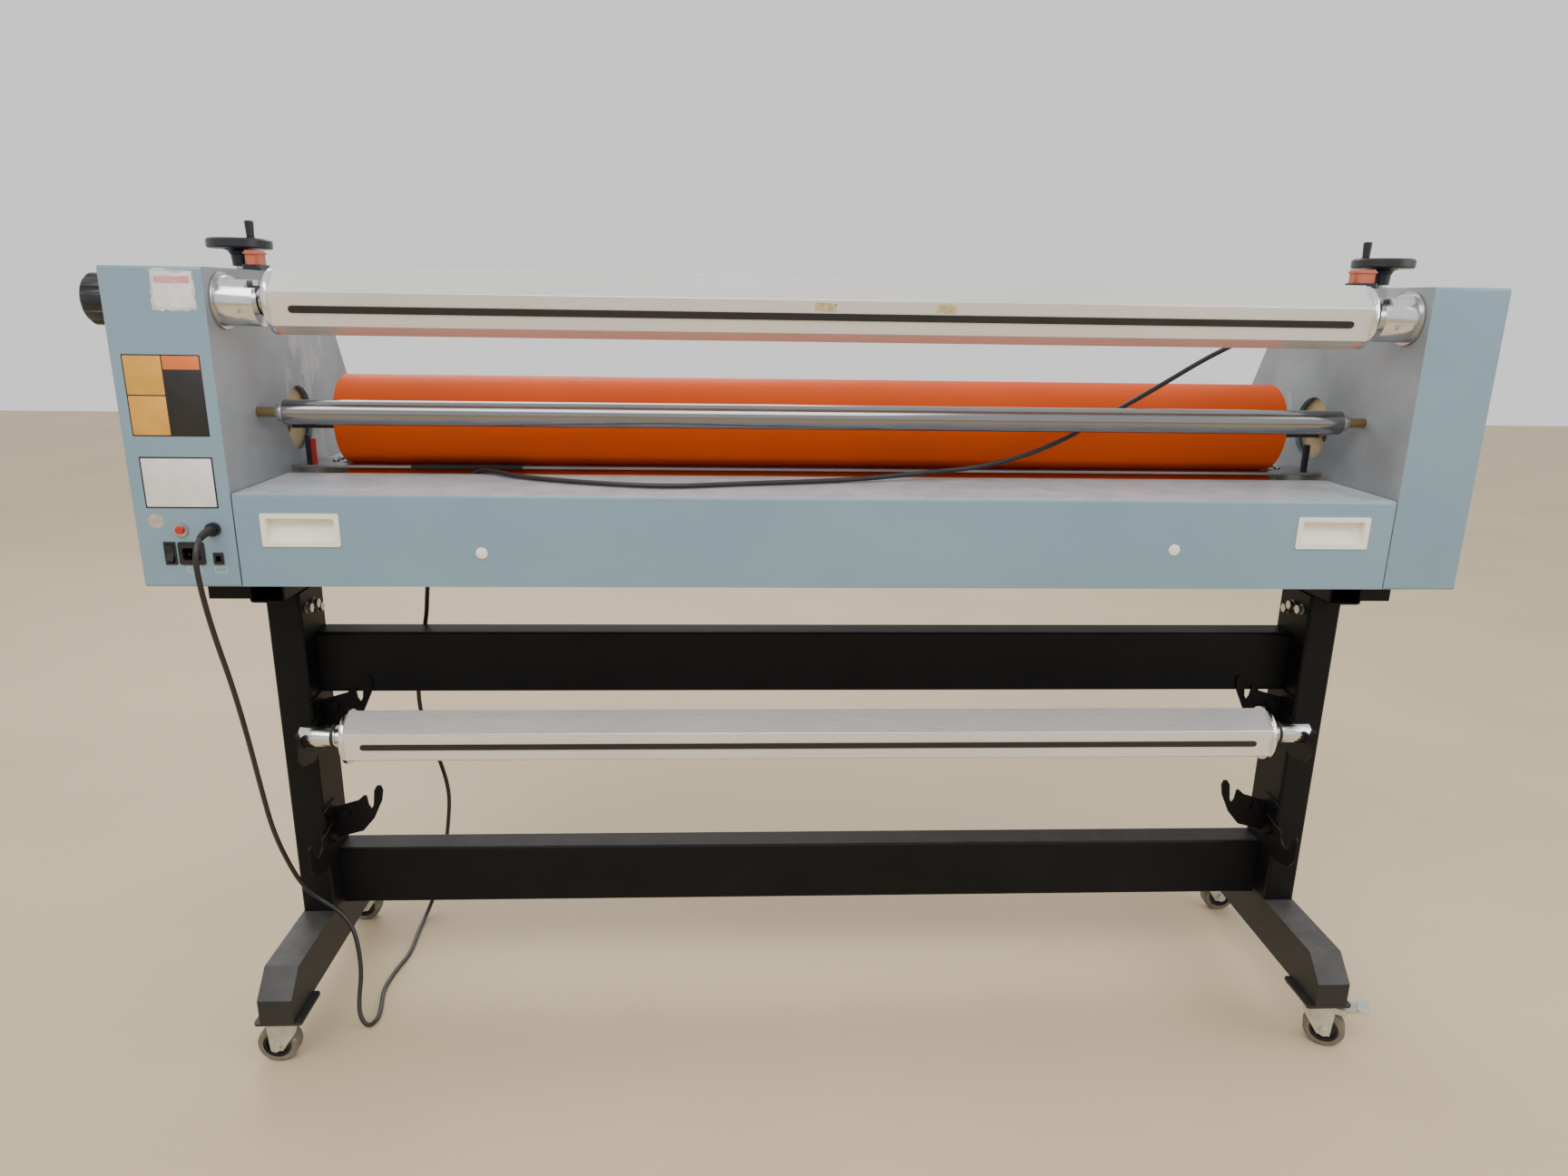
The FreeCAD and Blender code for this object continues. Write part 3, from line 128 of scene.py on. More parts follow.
def mix(tree, factor, a, b):
    """a and b are colours or colour sockets."""
    node = tree.nodes.new("ShaderNodeMix")
    node.data_type = "RGBA"
    tree.links.new(factor, node.inputs[0])
    for socket, value in ((node.inputs[6], a), (node.inputs[7], b)):
        if isinstance(value, (tuple, list)):
            socket.default_value = (*value, 1.0)
        else:
            tree.links.new(value, socket)
    return node.outputs[2]


def shade(colour, factor):
    return tuple(min(1.0, c * factor) for c in colour)


def look(name, colour, rough, metal=0.0, mottle=(6.0, 0.10), grain=(900.0, 0.10, 0.0002),
         stretch=(1.0, 1.0, 1.0), spread=0.06, dust_and_highlight=None, marks=None, coat=0.0, shine=0.5):
    """A procedural finish. mottle = (scale, amount); grain = (scale, strength, depth in m);
    dust_and_highlight = (colour, lowest upward normal, amount) tints the upward faces in patches, as settled
    dirt on most finishes and as a painted highlight on the red caps;
    marks = (colour, scale, threshold, stretch); coat is a clear layer's weight and shine the reflection off
    bare paint."""
    mat, tree, shader = new_tree(name)
    source, vector = coords(tree, stretch)
    _, plain = coords(tree)
    cloud = noise(tree, plain, mottle[0])
    tone = remap(tree, cloud, 0.3, 0.7, 0.0, 1.0)
    paint = mix(tree, tone, shade(colour, 1.0 - mottle[1]), shade(colour, 1.0 + mottle[1]))
    fine = noise(tree, vector, grain[0], 3.0)
    gloss = remap(tree, fine, 0.3, 0.7, max(0.02, rough - spread), min(1.0, rough + spread))
    if marks:
        tint, scale, threshold, run = marks
        _, along = coords(tree, run)
        worn = remap(tree, noise(tree, along, scale, 8.0, 0.7), threshold, threshold + 0.04, 0.0, 1.0)
        paint = mix(tree, worn, paint, tint)
    # Upward faces get a patchy tint: settled dirt on most finishes, a painted highlight on the red caps.
    if dust_and_highlight:
        tint, lowest, amount = dust_and_highlight
        split = tree.nodes.new("ShaderNodeSeparateXYZ")
        tree.links.new(source.outputs["Normal"], split.inputs[0])
        up = remap(tree, split.outputs["Z"], lowest, 1.0, 0.0, amount)
        patchy = remap(tree, noise(tree, plain, 22.0, 8.0, 0.7), 0.3, 0.62, 0.35, 1.0)
        paint = mix(tree, times(tree, up, patchy), paint, tint)
    bump = tree.nodes.new("ShaderNodeBump")
    bump.inputs["Strength"].default_value = grain[1]
    bump.inputs["Distance"].default_value = grain[2]
    tree.links.new(fine, bump.inputs["Height"])
    tree.links.new(paint, shader.inputs["Base Color"])
    tree.links.new(gloss, shader.inputs["Roughness"])
    tree.links.new(bump.outputs["Normal"], shader.inputs["Normal"])
    shader.inputs["Metallic"].default_value = metal
    shader.inputs["Coat Weight"].default_value = coat
    shader.inputs["Specular IOR Level"].default_value = shine
    return mat


ALONG_X = (0.012, 1.0, 1.0)
ROUND_X = (1.0, 0.02, 0.02)
BLUE = (0.198, 0.302, 0.375)
GREY_DUST = (0.115, 0.098, 0.086)

powder = look("powder_coat", BLUE, 0.42, mottle=(3.0, 0.07), grain=(1500.0, 0.25, 0.00012),
              marks=((0.11, 0.15, 0.17), 30.0, 0.735, (1.0, 1.0, 0.25)))
tabletop = look("powder_coat_table", BLUE, 0.38, mottle=(4.0, 0.06), grain=(1300.0, 0.22, 0.00012),
                dust_and_highlight=((0.60, 0.585, 0.60), 0.7, 0.85),
                marks=((0.12, 0.16, 0.18), 26.0, 0.74, (0.5, 1.0, 1.0)))
black = look("black_coat", (0.005, 0.005, 0.0055), 0.50, mottle=(8.0, 0.25), grain=(1100.0, 0.22, 0.00015),
             dust_and_highlight=(GREY_DUST, 0.45, 0.20), marks=((0.07, 0.07, 0.07), 38.0, 0.745, (1.0, 1.0, 0.4)),
             shine=0.16)
black_foot = look("black_coat_worn", (0.011, 0.011, 0.012), 0.52, mottle=(9.0, 0.3),
                  grain=(900.0, 0.3, 0.0002), dust_and_highlight=((0.105, 0.100, 0.094), 0.25, 0.60),
                  marks=((0.30, 0.29, 0.27), 60.0, 0.72, (1.0, 1.0, 1.0)))
silicone = look("orange_silicone", (0.74, 0.088, 0.006), 0.56, mottle=(5.0, 0.07),
                grain=(1600.0, 0.16, 0.0001), stretch=ROUND_X, spread=0.07,
                marks=((0.45, 0.05, 0.008), 45.0, 0.76, (0.3, 1.0, 1.0)), shine=0.22)
extrusion = look("brushed_aluminium", (0.74, 0.735, 0.72), 0.32, 0.5, (4.0, 0.05), (1400.0, 0.10, 0.00008),
                 ALONG_X, 0.09)
flange_metal = look("polished_flange", (0.80, 0.80, 0.79), 0.16, 1.0, (14.0, 0.05), (900.0, 0.05, 0.00005))
# The chrome's base colour is darkened to 0.27 as a painted dark reflection of the surroundings that the idler
# tube mirrors.
chrome_painted_dark = look("chrome_painted_dark", (0.27, 0.265, 0.27), 0.13, 1.0, (9.0, 0.05), (1100.0, 0.03, 0.00005), ALONG_X, 0.04,
              marks=((0.42, 0.40, 0.38), 55.0, 0.75, (0.2, 1.0, 1.0)))
chrome_worn = look("chrome_worn", (0.68, 0.68, 0.68), 0.17, 1.0, (18.0, 0.08), (700.0, 0.07, 0.00008),
                   marks=((0.36, 0.33, 0.29), 70.0, 0.70, (1.0, 1.0, 1.0)))
steel = look("turned_steel", (0.50, 0.50, 0.49), 0.32, 1.0, (20.0, 0.10), (1200.0, 0.12, 0.0001))
dark_steel = look("dark_steel", (0.10, 0.10, 0.105), 0.45, 0.85, (14.0, 0.2), (900.0, 0.15, 0.0001))
zinc = look("zinc_plate", (0.54, 0.56, 0.49), 0.40, 0.75, (55.0, 0.16), (500.0, 0.2, 0.0002), spread=0.1,
            marks=((0.22, 0.18, 0.12), 90.0, 0.70, (1.0, 1.0, 1.0)))
bronze = look("bearing_bronze", (0.50, 0.39, 0.22), 0.48, 0.55, (40.0, 0.16), (600.0, 0.25, 0.0002),
              marks=((0.10, 0.07, 0.04), 70.0, 0.68, (1.0, 1.0, 1.0)))
brass = look("stub_brass", (0.40, 0.29, 0.14), 0.36, 0.9, (60.0, 0.14), (900.0, 0.12, 0.0001), ROUND_X)
guard = look("guard_steel", (0.30, 0.30, 0.31), 0.38, 0.9, (10.0, 0.12), (1200.0, 0.12, 0.0001), ALONG_X, 0.08)
plastic = look("black_plastic", (0.011, 0.011, 0.013), 0.36, mottle=(20.0, 0.2), grain=(1500.0, 0.25, 0.00012),
               dust_and_highlight=(GREY_DUST, 0.6, 0.35))
plastic_fine = look("black_plastic_fine", (0.009, 0.009, 0.010), 0.30, mottle=(60.0, 0.2),
                    grain=(3000.0, 0.2, 0.00005))
rubber = look("black_rubber", (0.010, 0.010, 0.010), 0.62, mottle=(30.0, 0.25), grain=(900.0, 0.3, 0.0002),
              dust_and_highlight=(GREY_DUST, 0.4, 0.35))
cord_pvc = look("cord_pvc", (0.012, 0.012, 0.013), 0.40, mottle=(25.0, 0.3), grain=(1400.0, 0.2, 0.0001),
                dust_and_highlight=((0.10, 0.095, 0.09), 0.3, 0.4))
tyre = look("tyre_grey", (0.150, 0.128, 0.098), 0.86, mottle=(45.0, 0.3), grain=(420.0, 0.6, 0.0006),
            marks=((0.32, 0.28, 0.21), 75.0, 0.62, (1.0, 1.0, 1.0)))
cream = look("cream_plastic", (0.86, 0.82, 0.71), 0.30, mottle=(18.0, 0.04), grain=(1800.0, 0.12, 0.00008),
             marks=((0.50, 0.46, 0.36), 60.0, 0.72, (1.0, 1.0, 1.0)), coat=0.15)
# The pinkish lighter red laid on the caps' upward faces is a painted highlight.
red_cap = look("indicator_red", (0.52, 0.115, 0.055), 0.42, mottle=(40.0, 0.12), grain=(1200.0, 0.2, 0.0001),
               dust_and_highlight=((0.42, 0.25, 0.19), 0.5, 0.5))
red = look("signal_red", (0.48, 0.018, 0.014), 0.28, mottle=(50.0, 0.1), grain=(1800.0, 0.1, 0.00005), coat=0.3)
motor = look("motor_grey", (0.10, 0.105, 0.115), 0.44, mottle=(14.0, 0.12), grain=(900.0, 0.3, 0.0002),
             dust_and_highlight=(GREY_DUST, 0.5, 0.5))
paper = look("worn_paper", (0.76, 0.72, 0.70), 0.74, mottle=(70.0, 0.10), grain=(700.0, 0.4, 0.0002),
             marks=((0.48, 0.42, 0.41), 120.0, 0.64, (1.0, 1.0, 1.0)))
pink = look("pink_print", (0.66, 0.32, 0.33), 0.70, mottle=(80.0, 0.18), grain=(700.0, 0.3, 0.0001))
film = look("tape_residue", (0.55, 0.56, 0.55), 0.30, mottle=(90.0, 0.2), grain=(500.0, 0.4, 0.0002))
amber = look("label_amber", (0.66, 0.32, 0.045), 0.46, mottle=(40.0, 0.10), grain=(1200.0, 0.1, 0.0001))
orange_band = look("label_orange", (0.70, 0.17, 0.03), 0.46, mottle=(40.0, 0.08), grain=(1200.0, 0.1, 0.0001))
label_black = look("label_black", (0.012, 0.011, 0.011), 0.42, mottle=(40.0, 0.2), grain=(1200.0, 0.1, 0.0001))
plate_metal = look("plate_satin", (0.76, 0.75, 0.74), 0.38, 0.15, (50.0, 0.05),
                   (1500.0, 0.1, 0.00005), ALONG_X, marks=((0.30, 0.29, 0.29), 110.0, 0.72, (1.0, 1.0, 1.0)))
beige = look("round_seal", (0.42, 0.37, 0.29), 0.50, mottle=(120.0, 0.2), grain=(900.0, 0.3, 0.0001))
ink = look("white_ink", (0.62, 0.64, 0.65), 0.55, mottle=(200.0, 0.2), grain=(1500.0, 0.2, 0.00005))
glue = look("glue_residue", (0.50, 0.42, 0.22), 0.62, mottle=(160.0, 0.3), grain=(400.0, 0.6, 0.0004))
inner_grey = look("inner_plate", (0.235, 0.262, 0.280), 0.46, mottle=(7.0, 0.24),
                  grain=(900.0, 0.2, 0.00015), marks=((0.36, 0.37, 0.38), 5.0, 0.60, (1.0, 1.0, 0.6)))
plate_worn = look("caster_plate_worn", (0.020, 0.018, 0.017), 0.50, mottle=(20.0, 0.3),
                  grain=(700.0, 0.3, 0.0002), marks=((0.16, 0.09, 0.045), 70.0, 0.63, (1.0, 1.0, 1.0)))
floor_mat = look("pale_floor", (0.60, 0.47, 0.30), 0.62, mottle=(1.3, 0.05), grain=(160.0, 0.12, 0.0006),
                 marks=((0.50, 0.43, 0.33), 9.0, 0.70, (1.0, 1.0, 1.0)))

# ---------------------------------------------------------------- the cord

ROUTE = [
    (-797.6, -12.0, 830.0), (-797.6, -33.3, 829.8), (-797.9, -50.0, 815.7), (-798.3, -54.6, 794.6),
    (-798.8, -49.0, 757.2), (-799.3, -33.2, 697.5), (-800.1, -1.6, 611.5), (-802.3, 24.9, 523.8),
    (-806.6, 51.1, 436.1), (-811.7, 80.5, 349.4), (-808.4, 116.6, 265.6), (-800.8, 136.0, 222.5),
    (-787.2, 145.8, 197.0), (-763.8, 148.7, 177.2), (-743.0, 142.5, 162.0), (-727.7, 131.7, 135.1),
    (-718.7, 115.3, 83.1), (-721.0, 97.9, 44.1), (-717.0, 85.2, 22.1), (-704.5, 80.3, 6.2),
    (-695.9, 99.7, 4.6), (-699.7, 129.1, 4.5), (-711.9, 176.4, 4.1), (-706.4, 231.3, 4.2),
    (-696.4, 274.6, 4.3), (-702.3, 343.5, 4.1), (-702.5, 380.0, 4.7), (-697.3, 408.5, 18.8),
    (-690.3, 424.6, 39.1), (-680.5, 429.5, 69.6), (-666.9, 420.3, 121.9), (-646.2, 390.0, 205.2),
    (-628.2, 349.0, 285.0), (-633.3, 314.7, 369.6), (-650.1, 288.1, 455.6), (-640.4, 272.4, 543.4),
    (-616.6, 261.6, 631.2), (-605.5, 238.6, 681.8), (-583.4, 187.6, 736.3), (-558.2, 160.6, 787.3),
    (-541.3, 158.5, 823.5), (-526.9, 173.2, 854.9), (-514.5, 181.8, 870.6), (-496.2, 180.3, 881.6),
    (-472.6, 162.4, 881.8), (-434.5, 129.2, 880.4), (-357.5, 92.1, 880.4), (-270.3, 63.9, 880.4),
    (-200.1, 56.0, 880.4), (-117.3, 81.3, 880.4), (-28.0, 100.6, 880.4), (60.2, 125.2, 880.8),
    (149.3, 144.9, 887.4), (240.4, 148.8, 896.1), (327.7, 149.1, 923.0), (407.2, 147.8, 968.2),
    (485.8, 146.1, 1015.5), (543.8, 146.0, 1052.3), (579.7, 147.9, 1070.8), (614.0, 164.1, 1084.4),
    (657.5, 212.0, 1096.1), (706.2, 289.2, 1103.0), (739.5, 351.0, 1110.0), (762.7, 391.7, 1109.0),
    (777.9, 413.0, 1097.5), (792.8, 430.0, 1061.5), (800.9, 463.5, 994.2), (799.9, 481.0, 957.5),
    (795.7, 484.0, 934.7), (785.6, 486.1, 915.6), (759.2, 479.5, 897.6), (714.3, 453.8, 884.2),
    (690.8, 434.5, 883.3), (666.2, 420.2, 889.8), (645.0, 417.5, 893.5)]
CORD_D = 0.007


def route_curve(name, bevel):
    data = bpy.data.curves.new(name, "CURVE")
    data.dimensions = "3D"
    data.resolution_u = 10
    data.bevel_depth = bevel
    data.bevel_resolution = 5
    spline = data.splines.new("NURBS")
    spline.points.add(len(ROUTE) - 1)
    for point, place in zip(spline.points, ROUTE):
        point.co = (*at(*place), 1.0)
    spline.order_u = 3
    spline.use_endpoint_u = True
    obj = bpy.data.objects.new(name, data)
    scene.collection.objects.link(obj)
    return obj


def make_cord():
    obj = route_curve("foot_switch_cord", CORD_D / 2)
    obj.data.use_fill_caps = True
    obj.data.materials.append(cord_pvc)
    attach(obj, "stand")
    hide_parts("cord")


make_cord()

# ---------------------------------------------------------------- mesh helpers


def add_mesh(name, bm, material, body, smooth=35.0):
    mesh = bpy.data.meshes.new(name)
    bmesh.ops.recalc_face_normals(bm, faces=bm.faces)
    bm.to_mesh(mesh)
    bm.free()
    obj = bpy.data.objects.new(name, mesh)
    scene.collection.objects.link(obj)
    mesh.materials.append(material)
    mesh.shade_smooth()
    mesh.set_sharp_from_angle(angle=math.radians(smooth))
    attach(obj, body)
    return obj


def slab(name, outline, thickness, place, material, body, bevel=0.15):
    """A closed thin plate. outline is (u, v) in mm; place(u, v, w) gives the point in metres."""
    bm = bmesh.new()
    low = [bm.verts.new(place(u, v, 0.0)) for u, v in outline]
    high = [bm.verts.new(place(u, v, thickness)) for u, v in outline]
    bm.faces.new(low)
    bm.faces.new(list(reversed(high)))
    for k in range(len(outline)):
        m = (k + 1) % len(outline)
        bm.faces.new((low[k], high[k], high[m], low[m]))
    rim = [e for e in bm.edges if e.verts[0] in high and e.verts[1] in high]
    bmesh.ops.bevel(bm, geom=rim, offset=min(bevel, thickness * 0.45) / 1000, segments=2,
                    affect="EDGES", profile=0.5)
    return add_mesh(name, bm, material, body)


def round_rect(x0, x1, z0, z1, r, steps=5):
    points = []
    corners = ((x1 - r, z1 - r, 0), (x0 + r, z1 - r, 90), (x0 + r, z0 + r, 180), (x1 - r, z0 + r, 270))
    for cx, cz, start in corners:
        for k in range(steps + 1):
            a = math.radians(start + 90.0 * k / steps)
            points.append((cx + r * math.cos(a), cz + r * math.sin(a)))
    return points


def ragged(x0, x1, z0, z1, seed, amount, steps=9):
    """A torn outline round a rectangle."""
    rnd = random.Random(seed)
    corners = [(x0, z0), (x1, z0), (x1, z1), (x0, z1)]
    points = []
    for k in range(4):
        (ax, az), (bx, bz) = corners[k], corners[(k + 1) % 4]
        for j in range(steps):
            t = j / steps
            points.append((ax + (bx - ax) * t + rnd.uniform(-amount, amount),
                           az + (bz - az) * t + rnd.uniform(-amount, amount)))
    return points


def front(level):
    """Places a plate on the cabinets' front, level mm proud of it."""
    return lambda u, v, w: at(u, -level - w, v)


# ---------------------------------------------------------------- finishes of the CAD nodes


def finish(node, material, rules=(), bevel=0.0):
    """Gives a node its material; rules are (test, material), where test takes a face's centre in
    working mm and its normal."""
    obj = nodes[node]
    mesh = obj.data
    mesh.materials.clear()
    mesh.materials.append(material)
    for _, other in rules:
        mesh.materials.append(other)
    for face in mesh.polygons:
        face.material_index = 0
        c = working(face.center)
        for k, (test, _) in enumerate(rules):
            if test(c, face.normal):
                face.material_index = k + 1
                break
    if bevel:
        weld = obj.modifiers.new("weld", "WELD")
        weld.merge_threshold = 0.00001
        edge = obj.modifiers.new("edges", "BEVEL")
        edge.width = bevel / 1000
        edge.segments = 2
        edge.limit_method = "ANGLE"
        edge.angle_limit = math.radians(40)
        edge.harden_normals = True


CAB_TOP = 1155.0
SCREW_BELOW = CAB_TOP - 1.5
PIN_ABOVE = CAB_TOP + 45.6
INDICATOR_BASE = CAB_TOP + 8.6
INNER_PLATE = 772.5
BLOCK_HEADS = 780.9
PIVOT_AT = (164.0, 762.0)
PIVOT_REACH = 6.0
SHAFT_END = 706.2
SHAFT_FLANGE = 699.9
CHUCK_RING = 767.9
KNOB_ROOT = -894.5
STUB_NECK = 744.6
RED_POST = (-743.7, -736.5)
POST_STEM = 730.0
RESET_AT = (-839.0, 829.0)
RESET_RING_R = 9.2


def on_inner_plate(c, n):
    return abs(c.x) < INNER_PLATE and abs(n.x) > 0.9


def on_pivot(c, n):
    return abs(c.y - PIVOT_AT[0]) < PIVOT_REACH and abs(c.z - PIVOT_AT[1]) < PIVOT_REACH


def on_reset_ring(c, n):
    return math.hypot(c.x - RESET_AT[0], c.z - RESET_AT[1]) < RESET_RING_R


for side in ("left", "right"):
    finish("cabinet_" + side, powder, [(on_inner_plate, inner_grey)], bevel=0.5)
    finish("cover_" + side, powder, bevel=0.5)
    finish("leg_" + side, black, bevel=0.6)
    finish("foot_" + side, black_foot, bevel=0.8)
    finish("handwheel_" + side, plastic, [(lambda c, n: c.z < SCREW_BELOW or c.z > PIN_ABOVE, steel)])
    finish("crank_" + side, plastic)
finish("feed_table", tabletop, bevel=0.4)
finish("rear_table", tabletop, bevel=0.4)
finish("upper_beam", black, bevel=0.6)
finish("lower_beam", black, bevel=0.6)
finish("cabinet_saddles", black, bevel=0.5)
finish("frame_bolts", steel, bevel=0.25)
finish("cabinet_screws", steel, bevel=0.15)
finish("caster_plates", plate_worn, bevel=0.3)
finish("upper_roller_cover", silicone)
finish("lower_roller_cover", silicone)
finish("upper_roller_core", dark_steel)
finish("lower_roller_core", dark_steel)
finish("upper_bearings", bronze, [(lambda c, n: abs(c.x) < BLOCK_HEADS, dark_steel)], bevel=0.3)
finish("bearing_housings", bronze, [(on_pivot, steel)])
finish("gearmotor", motor, bevel=0.5)
finish("drive_pinion", steel)
finish("drive_chain", dark_steel)
finish("indicators", red_cap, [(lambda c, n: c.z < INDICATOR_BASE, plastic)], bevel=0.3)
SHAFTS = {"supply": (44.0, 1115.0), "storage": (128.0, 484.0)}
for key, (y, z) in SHAFTS.items():
    finish(key + "_shaft", extrusion,
           [(lambda c, n: abs(c.x) > SHAFT_END, chrome_worn),
            (lambda c, n: abs(c.x) > SHAFT_FLANGE, flange_metal)],
           bevel=0.3)
    finish(key + "_strip", rubber)
finish("shaft_chucks", chrome_worn, [(lambda c, n: abs(c.x) > CHUCK_RING, steel)], bevel=0.35)
finish("brake_knob", plastic, [(lambda c, n: c.x > KNOB_ROOT, steel)], bevel=0.3)
# The idler tube takes the darkened chrome, whose dark base colour is a painted reflection.
finish("idler_tube", chrome_painted_dark)
finish("idler_stubs", brass, [(lambda c, n: abs(c.x) < STUB_NECK, steel)], bevel=0.2)
finish("roll_hooks", black, bevel=0.25)
finish("table_fittings", cream, bevel=0.2)
finish("nip_bar", guard, bevel=0.3)
finish("nip_posts", plastic, [(lambda c, n: RED_POST[0] < c.x < RED_POST[1], red),
                              (lambda c, n: abs(c.x) < POST_STEM, steel)], bevel=0.2)
finish("panel_fittings", plastic_fine, [(on_reset_ring, steel)], bevel=0.15)
finish("rocker", plastic_fine, bevel=0.2)
finish("reset_button", red, bevel=0.3)
finish("pedal_base", plastic, bevel=0.5)
finish("pedal_treadle", plastic, bevel=0.5)
CASTER_X, FRONT_Y, REAR_Y, TRAIL = 797.0, 25.0, 397.0, 17.0
AXLE_Z, HUB_R = 30.0, 21.0
CASTERS = {"fl": (-CASTER_X, FRONT_Y, 180.0), "fr": (CASTER_X, FRONT_Y, -30.0),
           "rl": (-CASTER_X, REAR_Y, 180.0), "rr": (CASTER_X, REAR_Y, 0.0)}


def from_axle(c, x, y, turn):
    """How far a point is from a caster's axle, seen along the axle."""
    a = math.radians(turn)
    along = (c.x - x) * math.cos(a) + (c.y - y) * math.sin(a) - TRAIL
    return math.hypot(along, c.z - AXLE_Z)


for key, place in CASTERS.items():
    finish("fork_" + key, zinc, bevel=0.25)
    finish("wheel_" + key, tyre, [(lambda c, n, place=place: from_axle(c, *place) < HUB_R, plastic)])
finish("brake_fr", zinc, bevel=0.3)

# ---------------------------------------------------------------- labels and small details


STICKER_T = 0.25
LABEL_ROUND = 1.0


def panel_label(name, x0, x1, z0, z1, level, material):
    return slab(name, round_rect(x0, x1, z0, z1, LABEL_ROUND), STICKER_T, front(level), material,
                "stand")


# a plain label of amber, orange and black fields, with nothing written on it
panel_label("label_border", -882.0, -787.0, 949.0, 1050.0, 0.0, label_black)
panel_label("label_field_upper", -880.4, -834.8, 1000.6, 1048.4, STICKER_T, amber)
panel_label("label_field_lower", -880.4, -834.8, 950.6, 999.0, STICKER_T, amber)
panel_label("label_band", -833.2, -788.6, 1032.0, 1048.4, STICKER_T, orange_band)
# the plate below it, left blank
panel_label("plate_border", -879.0, -788.0, 857.0, 923.0, 0.0, label_black)
panel_label("plate_face", -877.0, -790.0, 859.0, 921.0, STICKER_T, plate_metal)
SEAL_AT = (-869.0, 840.0)
SEAL_R = 9.6
SEAL_SIDES = 40
seal = [(SEAL_AT[0] + SEAL_R * math.cos(k * math.tau / SEAL_SIDES),
         SEAL_AT[1] + SEAL_R * math.sin(k * math.tau / SEAL_SIDES)) for k in range(SEAL_SIDES)]
slab("round_seal", seal, STICKER_T, front(0.0), beige, "stand")


def outline_frame(name, x0, x1, z0, z1):
    """Four thin printed lines round a caption's place, with no caption in it."""
    w = 0.5
    lines = ((x0, x1, z0, z0 + w), (x0, x1, z1 - w, z1), (x0, x0 + w, z0 + w, z1 - w),
             (x1 - w, x1, z0 + w, z1 - w))
    for k, (a, b, c, d) in enumerate(lines):
        slab("%s_%d" % (name, k), round_rect(a, b, c, d, 0.12, 2), 0.08, front(0.0), ink, "stand",
             0.02)


outline_frame("caption_box_inlet", -838.5, -820.5, 771.5, 779.5)
outline_frame("caption_box_jack", -803.5, -787.5, 771.5, 779.5)

# a torn sticker near the top of the cabinet
slab("sticker_tape", ragged(-835, -783, 1103, 1151, 3, 1.8), 0.12, front(0.0), film, "stand")
slab("sticker_paper", ragged(-831, -785, 1106, 1148, 5, 1.3), 0.18, front(0.12), paper,
     "stand")
slab("sticker_band", ragged(-829, -787, 1135, 1143, 8, 0.5), 0.08, front(0.30), pink, "stand")

# a wrinkled black sleeve round the guard bar beside the cord, standing for a dark patch on the bar whose cause
# is not settled
SLEEVE_SECTION = (190.9, 213.1, 880.1, 885.5)
SLEEVE_X = -600.0
SLEEVE_LENGTH = 162.0
SLEEVE_STEPS = 60
WRINKLE_Y, WRINKLE_Z = 0.12, 0.10


# Builds the black sleeve that stands for the dark patch on the guard bar.
def dark_sleeve():
    rnd = random.Random(12)
    bm = bmesh.new()
    rows = []
    for k in range(SLEEVE_STEPS + 1):
        x = SLEEVE_X + SLEEVE_LENGTH * k / SLEEVE_STEPS
        row = []
        for y, z in round_rect(*SLEEVE_SECTION, 1.0, 3):
            y_off = rnd.uniform(-WRINKLE_Y, WRINKLE_Y)
            z_off = rnd.uniform(-WRINKLE_Z, WRINKLE_Z)
            row.append(bm.verts.new(at(x, y + y_off, z + z_off)))
        rows.append(row)
    count = len(rows[0])
    for a, b in zip(rows, rows[1:]):
        for k in range(count):
            m = (k + 1) % count
            bm.faces.new((a[k], a[m], b[m], b[k]))
    bm.faces.new(rows[0])
    bm.faces.new(list(reversed(rows[-1])))
    add_mesh("guard_dark_sleeve", bm, rubber, "stand", 60.0)


dark_sleeve()

# two glue residues on the supply shaft's front facet
FACET = 36.806
TILT = math.radians(13.5)


def facet(u, v, w):
    """u along the shaft, v up the grooved facet, w proud of it."""
    out = FACET + w
    y = -out * math.cos(TILT) - v * math.sin(TILT)
    z = -out * math.sin(TILT) + v * math.cos(TILT)
    return at(u, SHAFTS["supply"][0] + y, SHAFTS["supply"][1] + z)


GLUE_X = ((-25.0, 3.0), (131.0, 155.0))
GLUE_V = (7.0, 17.5)
GLUE_SEED = 20
for k, (x0, x1) in enumerate(GLUE_X):
    torn = ragged(x0, x1, *GLUE_V, GLUE_SEED + k, 1.5)
    slab("glue_%d" % k, torn, 0.12, facet, glue, "supply", 0.05)

# ribs across the foot switch's treadle
TREAD_X0, TREAD_X1 = 550.0, 622.0
TREAD_Z0, TREAD_Z1 = 895.0, 902.0
TREAD_Y0, TREAD_Y1 = 371.0, 427.0
TREAD_RISE = math.atan2(TREAD_Z1 - TREAD_Z0, TREAD_X1 - TREAD_X0)
RIB_COUNT = 9
RIB_FIRST, RIB_PITCH = 6.0, 6.6
RIB_HALF, RIB_HEIGHT, RIB_SINK = 1.1, 1.2, 0.1
RIB_INSET = 6.0


def treadle_ribs():
    y0, y1 = TREAD_Y0 + RIB_INSET, TREAD_Y1 - RIB_INSET
    outline = [(y0, -RIB_HALF), (y1, -RIB_HALF), (y1, RIB_HALF), (y0, RIB_HALF)]
    for k in range(RIB_COUNT):
        along = RIB_FIRST + RIB_PITCH * k
        x = TREAD_X0 + along * math.cos(TREAD_RISE)
        z = TREAD_Z0 + along * math.sin(TREAD_RISE)
        slab("tread_rib_%d" % k, outline, RIB_HEIGHT,
             lambda u, v, w, x=x, z=z: at(x + v, u, z + v * math.tan(TREAD_RISE) - RIB_SINK + w),
             plastic, "treadle", 0.4)


treadle_ribs()


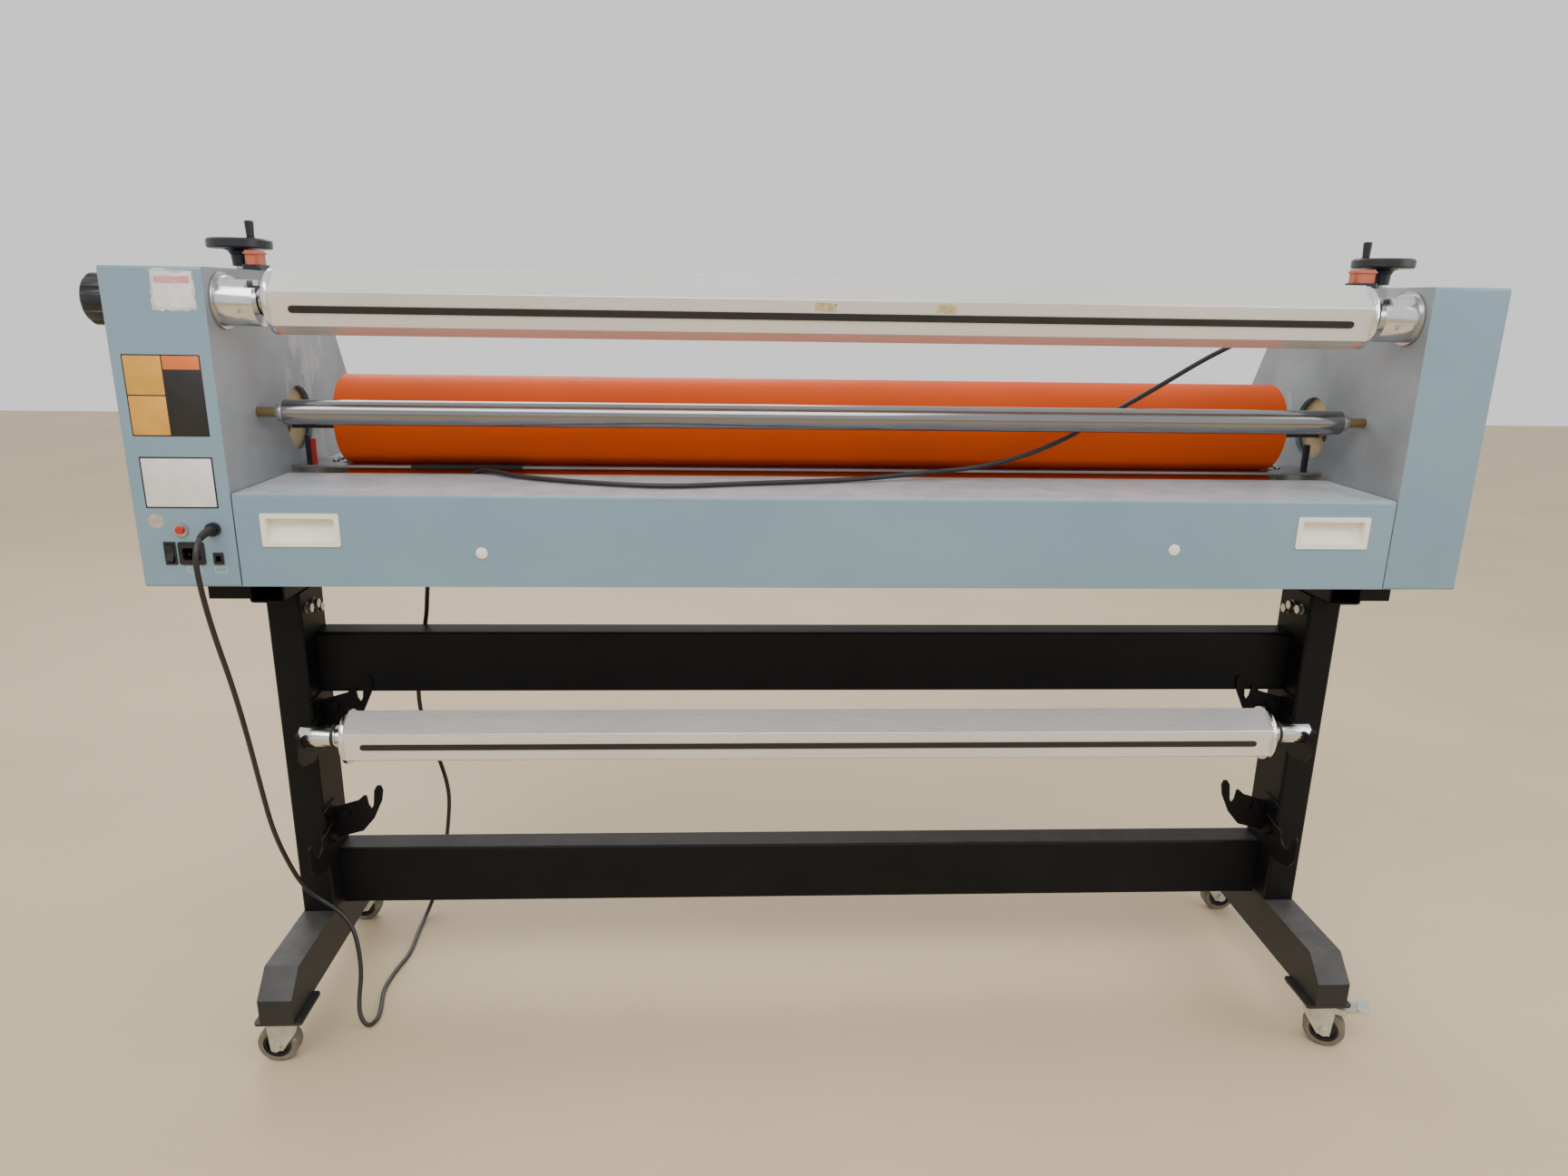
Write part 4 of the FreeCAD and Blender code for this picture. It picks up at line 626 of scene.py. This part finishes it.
RELIEF_LENGTH = 26.0
RELIEF_R = 6.1
RELIEF_TAPER = 1.9
RELIEF_SIDES = 24
RELIEF_STEP = 0.7
GROOVES = (8.0, 24.0)
GROOVE_PITCH, GROOVE_WIDTH, GROOVE_DEPTH = 3.0, 1.0, 0.45


def relief_radius(s):
    """The sleeve's radius at a distance s from the gland."""
    cut = GROOVES[0] < s < GROOVES[1] and (s % GROOVE_PITCH) < GROOVE_WIDTH
    return RELIEF_R - RELIEF_TAPER * min(1.0, s / RELIEF_LENGTH) - (GROOVE_DEPTH if cut else 0.0)


def strain_relief():
    """A tapered ribbed sleeve on the cord where it leaves the gland."""
    line = route_curve("relief_line", 0.0)
    bpy.context.view_layer.update()
    mesh = bpy.data.meshes.new_from_object(line)
    points = [v.co.copy() for v in mesh.vertices]
    bpy.data.objects.remove(line)
    run = 0.0
    centres = []
    for a, b in zip(points, points[1:]):
        length = (b - a).length * 1000
        pieces = max(1, int(length / RELIEF_STEP))
        for j in range(pieces):
            here = a.lerp(b, j / pieces)
            centres.append((run + length * j / pieces, here, (b - a).normalized()))
        run += length
        if run > RELIEF_LENGTH:
            break
    bm = bmesh.new()
    rings = []
    for s, centre, direction in centres:
        radius = relief_radius(s)
        side = direction.cross(Vector((1, 0, 0))).normalized()
        up = direction.cross(side).normalized()
        rings.append([bm.verts.new(centre + (side * math.cos(q) + up * math.sin(q)) * radius / 1000)
                      for q in (math.tau * k / RELIEF_SIDES for k in range(RELIEF_SIDES))])
    for a, b in zip(rings, rings[1:]):
        for k in range(RELIEF_SIDES):
            m = (k + 1) % RELIEF_SIDES
            bm.faces.new((a[k], a[m], b[m], b[k]))
    bm.faces.new(rings[0])
    bm.faces.new(list(reversed(rings[-1])))
    add_mesh("strain_relief", bm, rubber, "stand", 40.0)


strain_relief()

# ---------------------------------------------------------------- floor and light


FLOOR_HALF = 9.0


def floor():
    bm = bmesh.new()
    bmesh.ops.create_grid(bm, x_segments=8, y_segments=8, size=FLOOR_HALF)
    mesh = bpy.data.meshes.new("floor")
    bm.to_mesh(mesh)
    bm.free()
    obj = bpy.data.objects.new("floor", mesh)
    mesh.materials.append(floor_mat)
    scene.collection.objects.link(obj)


def area(name, place, target, size, power, colour):
    data = bpy.data.lights.new(name, "AREA")
    data.shape = "RECTANGLE"
    data.size, data.size_y = size
    data.energy = power
    data.color = colour
    obj = bpy.data.objects.new(name, data)
    obj.location = place
    obj.rotation_mode = "QUATERNION"
    obj.rotation_quaternion = (Vector(target) - Vector(place)).to_track_quat("-Z", "Y")
    scene.collection.objects.link(obj)


floor()
area("key", (-0.8, -2.6, 3.6), (0.0, 0.0, 0.8), (3.4, 2.0), 92.0, (1.0, 0.99, 0.97))
area("fill", (3.0, -1.4, 2.2), (0.0, 0.0, 0.8), (2.2, 2.2), 36.0, (0.97, 0.98, 1.0))
area("back", (-1.0, 3.0, 3.0), (0.0, 0.2, 0.8), (3.0, 2.0), 60.0, (1.0, 1.0, 1.0))

world = bpy.data.worlds.new("studio")
world.use_nodes = True
background = world.node_tree.nodes["Background"]
background.inputs["Color"].default_value = (0.93, 0.93, 0.92, 1.0)
background.inputs["Strength"].default_value = 1.05
scene.world = world
